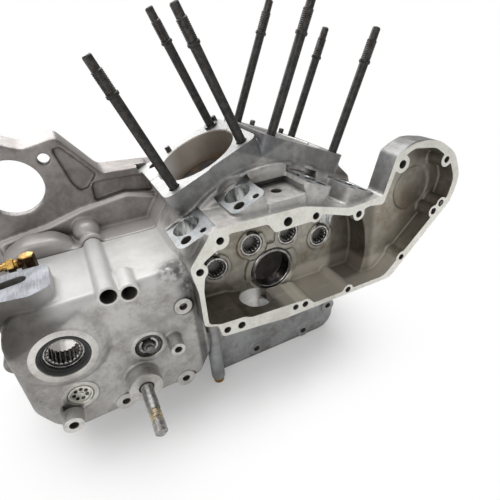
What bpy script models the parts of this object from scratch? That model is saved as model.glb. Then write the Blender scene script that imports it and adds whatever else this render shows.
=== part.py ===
"""V-twin motorcycle crankcase: both halves bolted together, stripped of shafts and covers.

Sizes are in millimetres. X points forward, Y to the engine's left, Z up. The origin lies on the
flat base, below the crank axis, on the centre line of the cylinders.
"""
import math

import bmesh
import bpy
from mathutils import Matrix, Vector

MM = 0.001
GAP = 0.3

# Places of the main planes along Y
PARTING_Y = 6.5
GASKET_Y = -106.0
CHEST_FLOOR_Y = -57.5
LOBE_FLOOR_Y = -86.0
LOBE_BACK_Y = -81.0
SIDE_WALL_Y = -60.0
GEARBOX_WALL_Y = -87.0
PLATE_Y = 44.0
LIP_Y = 88.0

# Crank chamber
CRANK_HEIGHT = 126.0
CHAMBER_HALF = 45.0
LEFT_WALL_Y = 56.0

# Cylinder decks
CYLINDER_TILT = 22.5
DECK_HEIGHT = 140.0
DECK_HALF = DECK_HEIGHT * math.tan(math.radians(CYLINDER_TILT)) - 4.0
DECK_NEAR_Y = -52.0
DECK_FAR_Y = 54.0
DECK_CORNER_R = 9.0
WALL_STEP = 2.0
REAR_RIDGE = -3.0
FRONT_RIDGE = 12.0

# Cylinder studs
STUD_HALF = DECK_HALF - 14.0
STUD_R = 4.75
STUD_SHANK = 94.0
STUD_COLLAR = 3.0
STUD_COLLAR_R = 5.9
STUD_THREAD = 19.0
STUD_THREAD_R = 5.1
STUD_TIP = 12.0
STUD_TIP_R = 4.1
STUD_DEPTH = 18.0

# Bore of the cylinder spigots, and the drum of the crank chamber under the decks
CYLINDER_BORE_R = STUD_HALF + 4.0
DRUM_R = DECK_HEIGHT - 18.0
CHAMBER_R = DRUM_R - 13.0

# Deck dowels
DOWEL_R = 3.2
DOWEL_PROUD = 6.0
DOWEL_DEPTH = 8.0
DOWEL_EDGE = 5.0

# Cams and their bearings
CAM_OUTER = (66.0, 22.0)
CAM_INNER = (23.0, 38.0)
CAM_BOSS_R = 17.0
CAM_BOSS_PROUD = 2.5
CAM_CUP_R = 13.0
CAM_CUP_WALL = 1.3
CAM_ROLLER_R = 1.5
CAM_ROLLER_COUNT = 14
CAM_CUP_DROP = 0.5
BEARING_DEPTH = 10.0

# Main bearings
RACE_R = 26.0
RACE_WALL = 4.0
RACE_BOSS_R = 33.0
LEFT_RACE_R = 30.0

# Lifter blocks
LIFTER_BORE_R = 13.0
LIFTER_OUTER = (-53.0, 114.0)
LIFTER_INNER = (4.5, 111.0)
LIFTER_Y = -67.0
LIFTER_BLOCK_HALF = 18.5
LIFTER_BLOCK_NEAR_Y = -98.0
LIFTER_RELIEF = 2.5

# Gearbox
MAINSHAFT = (-225.0, 6.0)
MAINSHAFT_BOSS_R = 27.5
MAINSHAFT_SWELL_R = 43.0
MAINSHAFT_BOSS_PROUD = 5.0
MAINSHAFT_CUP_R = 18.0
MAINSHAFT_CUP_WALL = 1.6
MAINSHAFT_ROLLER_R = 1.9
MAINSHAFT_ROLLER_COUNT = 22
SEAL_R = 21.5
SEAL_WIDTH = 5.0
COUNTERSHAFT = (-226.0, -48.0)
COUNTERSHAFT_CUP_R = 11.5
GEARBOX_TOP = 56.0
GEARBOX_WALL = 8.0
GEARBOX_ROOF = 11.5

# Primary side
STARTER_HOLE = (-230.5, 118.0)
STARTER_HOLE_R = 28.5
TRAPDOOR = (-226.0, -22.0)
TRAPDOOR_R = 56.0

X_AXIS = Vector((1.0, 0.0, 0.0))
Y_AXIS = Vector((0.0, 1.0, 0.0))
Z_AXIS = Vector((0.0, 0.0, 1.0))


class Frame:
    """A place to draw in: outlines use a and b, extrusions run along n."""

    def __init__(self, origin, a, b, n):
        self.origin = Vector(origin)
        self.a = a
        self.b = b
        self.n = n

    def point(self, a, b, n):
        return (self.origin + a * self.a + b * self.b + n * self.n) * MM


CRANK = Vector((0.0, 0.0, CRANK_HEIGHT))
SIDE = Frame(CRANK, X_AXIS, Z_AXIS, Y_AXIS)
PLAN = Frame(CRANK, X_AXIS, Y_AXIS, Z_AXIS)


def cylinder_frame(side):
    """The frame of one cylinder: a runs from outside to the middle of the V, b along Y, n up it."""
    tilt = math.radians(CYLINDER_TILT)
    along = Vector((side * math.sin(tilt), 0.0, math.cos(tilt)))
    inward = Vector((-side * math.cos(tilt), 0.0, math.sin(tilt)))
    return Frame(CRANK, inward, Y_AXIS, along)


REAR = cylinder_frame(-1)
FRONT = cylinder_frame(1)


def circle(centre, radius, count=24, start=0.0):
    points = []
    for step in range(count):
        angle = start + 2.0 * math.pi * step / count
        points.append((centre[0] + radius * math.cos(angle), centre[1] + radius * math.sin(angle)))
    return points


def arc(centre, radius, start, end, count):
    """Points on an arc, angles in degrees, both ends included."""
    points = []
    for step in range(count + 1):
        angle = math.radians(start + (end - start) * step / count)
        points.append((centre[0] + radius * math.cos(angle), centre[1] + radius * math.sin(angle)))
    return points


def rounded(corners, step=24.0):
    """An outline from corners (a, b, radius); a corner without a radius stays sharp."""
    points = []
    total = len(corners)
    for index, corner in enumerate(corners):
        here = Vector(corner[:2])
        radius = corner[2] if len(corner) > 2 else 0.0
        before = (Vector(corners[index - 1][:2]) - here)
        after = (Vector(corners[(index + 1) % total][:2]) - here)
        half = before.angle(after) / 2.0
        turn = math.pi - 2.0 * half
        if radius <= 0.0 or turn < 0.03:
            points.append(tuple(here))
            continue
        reach = min(radius / math.tan(half), 0.49 * before.length, 0.49 * after.length)
        radius = reach * math.tan(half)
        middle = here + (before.normalized() + after.normalized()).normalized() * (radius / math.sin(half))
        first = here + before.normalized() * reach - middle
        last = here + after.normalized() * reach - middle
        sweep = first.angle_signed(last)
        count = max(2, math.ceil(math.degrees(turn) / step))
        for part in range(count + 1):
            angle = -sweep * part / count
            cosine = math.cos(angle)
            sine = math.sin(angle)
            turned = Vector((first.x * cosine - first.y * sine, first.x * sine + first.y * cosine))
            points.append(tuple(middle + turned))
    return points


def inset(outline, distance):
    """The outline moved inward by a distance; every corner must be wider than that."""
    area = sum(a[0] * b[1] - b[0] * a[1] for a, b in zip(outline, outline[1:] + outline[:1]))
    turn = 1.0 if area > 0.0 else -1.0
    points = []
    count = len(outline)
    for index in range(count):
        here = Vector(outline[index])
        before = (here - Vector(outline[index - 1])).normalized()
        after = (Vector(outline[(index + 1) % count]) - here).normalized()
        first = Vector((-before.y, before.x)) * turn
        last = Vector((-after.y, after.x)) * turn
        middle = (first + last).normalized()
        points.append(tuple(here + middle * (distance / max(0.3, middle.dot(first)))))
    return points


def mesh_object(name, mesh_data):
    mesh = bpy.data.meshes.new(name)
    mesh_data.to_mesh(mesh)
    mesh_data.free()
    piece = bpy.data.objects.new(name, mesh)
    bpy.context.scene.collection.objects.link(piece)
    return piece


def loft(name, frame, sections, edge=0.0):
    """A closed solid through outlines with equal point counts; edge bevels both end rims."""
    data = bmesh.new()
    rings = []
    for outline, depth in sections:
        rings.append([data.verts.new(frame.point(a, b, depth)) for a, b in outline])
    caps = [data.faces.new(rings[0]), data.faces.new(rings[-1])]
    count = len(rings[0])
    for lower, upper in zip(rings, rings[1:]):
        for index in range(count):
            follow = (index + 1) % count
            data.faces.new((lower[index], lower[follow], upper[follow], upper[index]))
    bmesh.ops.recalc_face_normals(data, faces=data.faces)
    if edge > 0.0:
        rims = set(caps[0].edges) | set(caps[1].edges)
        bmesh.ops.bevel(data, geom=list(rims), offset=edge * MM, segments=1, affect="EDGES")
    return mesh_object(name, data)


def rounded_end(name, frame, outline, start, end, edge):
    """A prism whose rim at its start is rolled over by an edge radius."""
    sections = []
    for turn in (0.0, 30.0, 60.0, 90.0):
        angle = math.radians(turn)
        sections.append((inset(outline, edge * (1.0 - math.sin(angle))), start + edge * (1.0 - math.cos(angle))))
    sections.append((outline, end))
    return loft(name, frame, sections)


def prism(name, frame, outline, start, end, edge=0.0):
    return loft(name, frame, [(outline, start), (outline, end)], edge)


def rod(name, frame, centre, radius, start, end, count=24, edge=0.0):
    return prism(name, frame, circle(centre, radius, count, math.pi / count), start, end, edge)


def cone(name, frame, centre, radii, start, end, count=24):
    sections = [(circle(centre, radii[0], count), start), (circle(centre, radii[1], count), end)]
    return loft(name, frame, sections)


def turned(name, frame, centre, profile, count=24):
    """A turned solid: profile is a closed loop of (radius, depth), with no point on the axis."""
    data = bmesh.new()
    rings = []
    for step in range(count):
        angle = 2.0 * math.pi * step / count
        ring = []
        for radius, depth in profile:
            a = centre[0] + radius * math.cos(angle)
            b = centre[1] + radius * math.sin(angle)
            ring.append(data.verts.new(frame.point(a, b, depth)))
        rings.append(ring)
    size = len(profile)
    for step in range(count):
        ring = rings[step]
        other = rings[(step + 1) % count]
        for index in range(size):
            follow = (index + 1) % size
            data.faces.new((ring[index], ring[follow], other[follow], other[index]))
    bmesh.ops.recalc_face_normals(data, faces=data.faces)
    return mesh_object(name, data)


def solid_turned(name, frame, centre, profile, count=24):
    """A turned solid closed on its axis: profile is an open run of (radius, depth)."""
    sections = [(circle(centre, radius, count), depth) for radius, depth in profile]
    return loft(name, frame, sections)


def combine(body, pieces, operation):
    """Join the pieces to the body or cut them from it, then remove them."""
    group = bpy.data.collections.new(body.name + "_tools")
    bpy.context.scene.collection.children.link(group)
    for piece in pieces:
        piece.hide_render = True
        piece.display_type = "WIRE"
        bpy.context.scene.collection.objects.unlink(piece)
        group.objects.link(piece)
    modifier = body.modifiers.new(operation.lower(), "BOOLEAN")
    modifier.operation = operation
    modifier.operand_type = "COLLECTION"
    modifier.collection = group
    modifier.solver = "EXACT"
    bpy.context.view_layer.objects.active = body
    bpy.ops.object.modifier_apply(modifier=modifier.name)
    for piece in pieces:
        bpy.data.objects.remove(piece)
    bpy.data.collections.remove(group)
    return body


def material(name, colour, roughness, metallic):
    finish = bpy.data.materials.new(name)
    finish.use_nodes = True
    shader = finish.node_tree.nodes["Principled BSDF"]
    shader.inputs["Base Color"].default_value = (colour[0], colour[1], colour[2], 1.0)
    shader.inputs["Roughness"].default_value = roughness
    shader.inputs["Metallic"].default_value = metallic
    finish.diffuse_color = (colour[0], colour[1], colour[2], 1.0)
    return finish


def dress(piece, colour, roughness=0.5, metallic=1.0, smooth=True):
    piece.data.materials.clear()
    piece.data.materials.append(material(piece.name, colour, roughness, metallic))
    if smooth:
        piece.data.shade_smooth()
        piece.data.set_sharp_from_angle(angle=math.radians(28.0))
    return piece


CAST = (0.62, 0.60, 0.57)
CAST_DARK = (0.36, 0.34, 0.32)
STEEL = (0.45, 0.44, 0.43)
DARK_STEEL = (0.10, 0.10, 0.10)
BLACK = (0.03, 0.03, 0.03)
BRASS = (0.66, 0.42, 0.14)

# Gasket face of the cam chest: outline, pocket and screw holes, as (x, z) from the crank axis
CHEST_OUTLINE = [
    (-106, 62, 9), (-80, 94, 10), (12, 92, 40), (70, 75, 30), (113, 77, 3), (126, 119, 6), (150, 130, 34),
    (186, 123, 40), (214, 105, 36), (231, 74, 30), (223, 44, 18), (140, -38, 16), (-9, -37, 20),
    (-84, -28, 5), (-87, -12, 4), (-101, -7, 5), (-101, 34, 10),
]
CHEST_LOWER = [
    (-96, -6, 4), (-84, -11, 3), (-58, -13, 3), (-50, -17, 4), (8, -21, 4), (22, -24, 3), (28, -31, 4),
]
CHEST_LOBE = [
    (130, -32, 14), (216, 50, 12), (221, 73, 20), (207, 99, 26), (182, 116, 24), (150, 121, 12),
    (131, 113, 8), (121, 84, 6), (115, 67, 4),
]
CHEST_UPPER = [
    (96, 70, 6), (70, 66, 6), (34, 78, 4), (24, 73, 3), (-19, 73, 3), (-26, 84, 4),
    (-68, 86, 5), (-73, 76, 4), (-94, 64, 6), (-93, 50, 3), (-96, 34, 8),
]
DEEP_POCKET_R = 115.0
CHEST_WALL = 7.0
POCKET_STEP = 0.5
COVER_HOLES = [
    (-74.5, 81.5, 3.2, 9.0), (-97.0, 56.0, 3.2, 8.0), (-4.5, 80.5, 4.2, 0.0), (27.5, 77.5, 3.2, 7.0),
    (82.0, 64.5, 3.2, 7.5), (135.5, 107.0, 4.0, 9.5), (202.5, 98.5, 3.2, 8.5), (207.5, 44.5, 3.6, 7.5),
    (197.0, 36.5, 3.6, 7.5), (155.0, -13.5, 3.2, 8.0), (75.5, -31.5, 3.2, 7.0), (16.0, -28.0, 3.2, 7.0),
    (3.5, -27.0, 3.0, 0.0), (-62.0, -22.5, 3.6, 0.0), (-78.0, -21.5, 3.2, 0.0),
]
COVER_HOLE_DEPTH = 22.0

GEARBOX_OUTLINE = [
    (-95, GEARBOX_TOP, 5), (-95, -20, 20), (-92, -58, 14), (-108, -86, 8), (-234, -90, 16),
    (-255, -78, 18), (-267, -52, 24), (-267, 30, 40), (-256, GEARBOX_TOP, 16),
]
GEARBOX_ROOM = [
    (-104, GEARBOX_TOP - GEARBOX_ROOF, 6), (-126, -20, 20), (-128, -70, 14), (-244, -80, 20),
    (-262, -56, 18), (-262, 26, 36), (-250, GEARBOX_TOP - GEARBOX_ROOF, 12),
]
PRIMARY_OUTLINE = [
    (-292, 150, 24), (-236, 166, 16), (-211, 154, 14), (-179, 160, 6), (-145, 116, 8), (-92, 111.5, 20),
    (10, 104, 60), (88, 68, 50), (88, -64, 50), (4, -CRANK_HEIGHT, 30), (-240, -CRANK_HEIGHT, 50),
    (-300, -60, 60), (-300, 60, 60),
]

# Case screws through both halves, as (x, z) from the crank axis and the near end of each boss
CASE_SCREWS = [
    ("case_screw_1", -27.0, -113.0, -61.5, 9.0), ("case_screw_2", 43.0, -115.5, -61.5, 9.0),
    ("case_screw_3", 81.0, -88.0, -63.0, 9.5), ("case_screw_4", -190.0, -79.0, -89.0, 10.0),
    ("case_screw_5", -126.0, -82.0, -89.0, 10.0), ("case_screw_6", -114.5, 14.0, -91.0, 9.0),
]
ROOM_SCREWS = ("case_screw_4", "case_screw_5", "case_screw_6")
SCREW_HOLE_R = 3.4
SCREW_R = 3.0


def deck_block(name, frame, near, far, near_radius, far_radius, ridge=0.0):
    corners = [(-DECK_HALF, near, near_radius)]
    if near_radius > 0.0:
        corners += [(ridge - WALL_STEP, near), (ridge + WALL_STEP, near + WALL_STEP)]
        near += WALL_STEP
    corners += [(DECK_HALF, near, near_radius), (DECK_HALF, far, far_radius), (-DECK_HALF, far, far_radius)]
    return prism(name, frame, rounded(corners), 40.0, DECK_HEIGHT)


def base_block(name, start, end):
    corners = [(-80, -CRANK_HEIGHT, 5), (92, -CRANK_HEIGHT, 30), (91, -78, 0), (60, -40, 0), (-80, -60, 0)]
    return prism(name, SIDE, rounded(corners), start, end, 1.2)


def front_shoulder(name, start, end):
    corners = [(70, 30), (84, 96), (96, 100, 3), (112, 84, 6), (115, 73, 3), (130, 62, 6), (124, 10, 12), (90, 0)]
    return prism(name, SIDE, rounded(corners), start, end)


def lifter_blocks():
    pieces = []
    for frame, label in ((REAR, "rear"), (FRONT, "front")):
        for offset, height in (LIFTER_OUTER, LIFTER_INNER):
            half = LIFTER_BLOCK_HALF
            corners = [
                (offset - half, DECK_NEAR_Y + 6.0, 0), (offset - half, LIFTER_BLOCK_NEAR_Y, 9),
                (offset + half, LIFTER_BLOCK_NEAR_Y, 9), (offset + half, DECK_NEAR_Y + 6.0, 0),
            ]
            pieces.append(prism("lifter_block_" + label, frame, rounded(corners), 62.0, height))
    return pieces


STUD_PLACES = {
    "rear_stud_1": (REAR, -STUD_HALF, -STUD_HALF),
    "rear_stud_2": (REAR, STUD_HALF, -STUD_HALF),
    "rear_stud_3": (REAR, STUD_HALF, STUD_HALF),
    "front_stud_1": (FRONT, -STUD_HALF - 2.5, -STUD_HALF - 2.5),
    "front_stud_2": (FRONT, STUD_HALF, -STUD_HALF),
    "front_stud_3": (FRONT, -STUD_HALF, STUD_HALF),
    "front_stud_4": (FRONT, STUD_HALF, STUD_HALF),
}
EMPTY_STUD_HOLE = (REAR, -STUD_HALF, STUD_HALF)
DOWEL_PLACES = {
    "rear_dowel_1": (REAR, -15.0, DECK_FAR_Y - DOWEL_EDGE),
    "rear_dowel_2": (REAR, DECK_HALF - DOWEL_EDGE, DECK_FAR_Y - DOWEL_EDGE - 1.0),
    "front_dowel_1": (FRONT, 15.0, DECK_FAR_Y - DOWEL_EDGE),
    "front_dowel_2": (FRONT, -28.5, DECK_FAR_Y - DOWEL_EDGE),
}


def stud_holes(side):
    """Stud holes of one half: side -1 is the right half, 1 the left half."""
    pieces = []
    for frame, a, y in list(STUD_PLACES.values()) + [EMPTY_STUD_HOLE]:
        if y * side > 0.0:
            start = DECK_HEIGHT - STUD_DEPTH - 1.0
            pieces.append(rod("stud_hole", frame, (a, y), STUD_R + GAP, start, DECK_HEIGHT + 5.0, 12))
    return pieces


def dowel_holes():
    pieces = []
    for frame, a, y in DOWEL_PLACES.values():
        start = DECK_HEIGHT - DOWEL_DEPTH - 1.0
        end = DECK_HEIGHT + DOWEL_PROUD + 1.0
        pieces.append(rod("dowel_hole", frame, (a, y), DOWEL_R + GAP, start, end, 10))
    return pieces


def slot_outline(ends, radius):
    first = Vector(ends[0])
    last = Vector(ends[1])
    angle = math.degrees(math.atan2(last.y - first.y, last.x - first.x))
    return arc(first, radius, angle + 90.0, angle + 270.0, 6) + arc(last, radius, angle - 90.0, angle + 90.0, 6)


def lifter_bores():
    pieces = []
    for frame, label in ((REAR, "rear"), (FRONT, "front")):
        for offset, height in (LIFTER_OUTER, LIFTER_INNER):
            place = (offset, LIFTER_Y)
            pieces.append(rod("lifter_bore_" + label, frame, place, LIFTER_BORE_R, 50.0, height + 2.0))
            relief = LIFTER_BORE_R + LIFTER_RELIEF
            pieces.append(rod("lifter_relief_" + label, frame, place, relief, height, height + 26.0, 28))
            pieces.append(rod("lifter_pin_" + label, frame, (offset - 8.0, LIFTER_Y - 21.0), 5.0, height - 9.0, height + 5.0, 12))
            pieces.append(rod("lifter_screw_" + label, frame, (offset + 9.5, LIFTER_Y - 24.0), 2.9, height - 12.0, height + 5.0, 12))
    return pieces


def deep_pocket():
    """The floor of the cam chest, closed in front by an arc about the crank axis."""
    bottom_angle = math.degrees(math.asin(-31.5 / DEEP_POCKET_R))
    top_angle = math.degrees(math.asin(64.0 / DEEP_POCKET_R))
    run = [(a, b, 0) for a, b in arc((0, 0), DEEP_POCKET_R, bottom_angle, top_angle, 8)]
    outline = inset(rounded(CHEST_LOWER + run + CHEST_UPPER), POCKET_STEP)
    pocket = prism("deep_pocket", SIDE, outline, LOBE_FLOOR_Y - 3.0, CHEST_FLOOR_Y)
    keep = cover_bosses()
    keep.append(cone("race_boss", SIDE, (0, 0), (RACE_BOSS_R, RACE_BOSS_R + 2.0), CHEST_FLOOR_Y - 4.0, CHEST_FLOOR_Y + 4.0, 36))
    for _, place in cam_places():
        keep.append(rod("cam_boss", SIDE, place, CAM_BOSS_R, CHEST_FLOOR_Y - CAM_BOSS_PROUD, CHEST_FLOOR_Y + 5.0, 24))
    return combine(pocket, keep, "DIFFERENCE")


def lobe_pocket():
    """The shallow room behind the whole gasket face; the screw bosses are left standing in it."""
    pocket = prism("lobe_pocket", SIDE, rounded(CHEST_LOWER + CHEST_LOBE + CHEST_UPPER), GASKET_Y - 5.0, LOBE_FLOOR_Y)
    return combine(pocket, cover_bosses(), "DIFFERENCE")


def chest_body():
    """The walls of the deep part of the cam chest, back to the crank chamber."""
    outline = rounded(CHEST_OUTLINE)
    radius = DEEP_POCKET_R + CHEST_WALL
    leave = max(index for index, point in enumerate(outline) if point[0] < 92.0 and point[1] > 60.0)
    rejoin = min(index for index, point in enumerate(outline) if point[0] < 20.0 and point[1] < 0.0)
    run = arc((0, 0), radius, 35.0, -17.0, 8)
    return prism("chest_body", SIDE, outline[:leave + 1] + run + outline[rejoin:], GASKET_Y, SIDE_WALL_Y + 6.0)


def cover_bosses():
    pieces = []
    for x, z, _, boss in COVER_HOLES:
        if boss > 0.0:
            pieces.append(rod("cover_boss", SIDE, (x, z), boss, GASKET_Y - 10.0, CHEST_FLOOR_Y + 10.0, 16))
    return pieces


def cover_holes():
    pieces = []
    for x, z, hole, _ in COVER_HOLES:
        pieces.append(rod("cover_hole", SIDE, (x, z), hole, GASKET_Y - 5.0, GASKET_Y + COVER_HOLE_DEPTH, 12))
    return pieces


def cam_places():
    for number, (x, z) in enumerate((
        (-CAM_OUTER[0], CAM_OUTER[1]), (-CAM_INNER[0], CAM_INNER[1]), CAM_INNER, CAM_OUTER,
    ), start=1):
        yield number, (x, z)


def case_screw_bosses(start_limit, end, right):
    pieces = []
    for _, x, z, near, radius in CASE_SCREWS:
        start = near if right else start_limit
        pieces.append(rod("screw_boss", SIDE, (x, z), radius, start, end, 20))
    return pieces


def case_screw_holes(end):
    pieces = []
    for _, x, z, near, _ in CASE_SCREWS:
        pieces.append(rod("screw_hole", SIDE, (x, z), SCREW_HOLE_R, near - 5.0, end, 12))
    return pieces


TWIN_TUBE = (-176.0, 54.0)
TWIN_TUBE_R = 9.5
TWIN_TUBE_HOLE_R = 6.5
TWIN_NEAR_Y = -95.0
TWIN_DOME_Y = 30.0
HUMP_FAR_Y = 33.0
HUMP_EDGE = 8.0
TWIN_DOME = (-177.5, 60.0)
TWIN_DOME_R = 14.0
SHORT_BOSS = (-159.0, 51.0)
SHORT_BOSS_HOLE_R = 6.0
PIVOT = (-168.0, -55.0)
PIVOT_BOSS_R = 17.0
PIVOT_BOSS_Y = -105.0
PIVOT_HOLE_R = 6.6
SHIFT = (-154.5, -21.0)
SHIFT_BUSH_R = 13.0
SMALL_BOSS = (-130.0, -23.0)
SMALL_BOSS_Y = -105.0
LOWER_BOSS = (-237.5, -61.0)
LOWER_BOSS_Y = -108.0
BRACKET_TOP = 70.0
BRACKET_SLOT = ((-256.0, -55.0), (-240.0, -52.0))
BRACKET_SLOT_R = 6.0
REAR_LUG = (-263.5, 2.0)
REAR_LUG_R = 11.0
DRAIN_TUBE = (-85.0, -72.0)
DRAIN_TUBE_R = 8.0
DRAIN_BORE_R = 4.2
VENT = (-233.0, -20.0)
VENT_STEM_R = 4.5
VENT_HEX_R = 7.2
VENT_TOP = 76.0
VENT_PIPE_R = 3.2
LOBE_DISH = (176.5, 64.5)
LOBE_DISH_R = 27.0
PUMP_BORE = (-30.0, -75.0)
PUMP_BORE_R = 18.3


def mainshaft_boss():
    """A round face that swells down into the gearbox wall, leaning upward."""
    near = GEARBOX_WALL_Y - MAINSHAFT_BOSS_PROUD
    sections = []
    for step in range(6):
        turn = math.pi * step / 10.0
        share = math.sin(turn)
        radius = MAINSHAFT_BOSS_R + (MAINSHAFT_SWELL_R - MAINSHAFT_BOSS_R) * share
        centre = (MAINSHAFT[0], MAINSHAFT[1] + 5.0 * share)
        sections.append((circle(centre, radius, 32), near + 0.4 + 9.0 * (1.0 - math.cos(turn))))
    sections.insert(0, (circle(MAINSHAFT, MAINSHAFT_BOSS_R - 0.6, 32), near))
    sections.append((circle((MAINSHAFT[0], MAINSHAFT[1] + 5.0), MAINSHAFT_SWELL_R, 32), GEARBOX_WALL_Y + 18.0))
    return loft("mainshaft_boss", SIDE, sections)


def gearbox_room():
    """The room of the gear train, with the bearing and screw bosses left standing in it."""
    floor = GEARBOX_WALL_Y + GEARBOX_WALL
    room = prism("gearbox_room", SIDE, rounded(GEARBOX_ROOM), floor, PARTING_Y + 5.0)
    keep = [
        rod("mainshaft_inner_boss", SIDE, MAINSHAFT, MAINSHAFT_CUP_R + 6.0, floor - 5.0, -64.0, 32),
        rod("countershaft_inner_boss", SIDE, COUNTERSHAFT, COUNTERSHAFT_CUP_R + 4.5, floor - 5.0, -69.5, 24),
        rod("shift_inner_boss", SIDE, SHIFT, SHIFT_BUSH_R + 4.0, floor - 5.0, -67.5, 24),
    ]
    keep += room_bosses(floor - 5.0, PARTING_Y + 10.0)
    return combine(room, keep, "DIFFERENCE")


def far_gearbox_room(start):
    """The far half of that room, up to the wall behind the clutch."""
    room = prism("gearbox_room", SIDE, rounded(GEARBOX_ROOM), start - 5.0, PLATE_Y)
    return combine(room, room_bosses(start - 10.0, PLATE_Y + 5.0), "DIFFERENCE")


def room_bosses(start, end):
    """Bosses of the case screws that pass along the gearbox room."""
    pieces = []
    for name, x, z, _, radius in CASE_SCREWS:
        if name in ROOM_SCREWS:
            pieces.append(rod("room_boss", SIDE, (x, z), radius, start, end, 20))
    return pieces


def bracket_pad():
    corners = [(-264, -78, 4), (-232, -84, 8), (-216, -76, 6), (-216, -36, 6), (-264, -36, 4)]
    return prism("bracket_pad", PLAN, rounded(corners), 40.0, BRACKET_TOP, 0.8)


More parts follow.
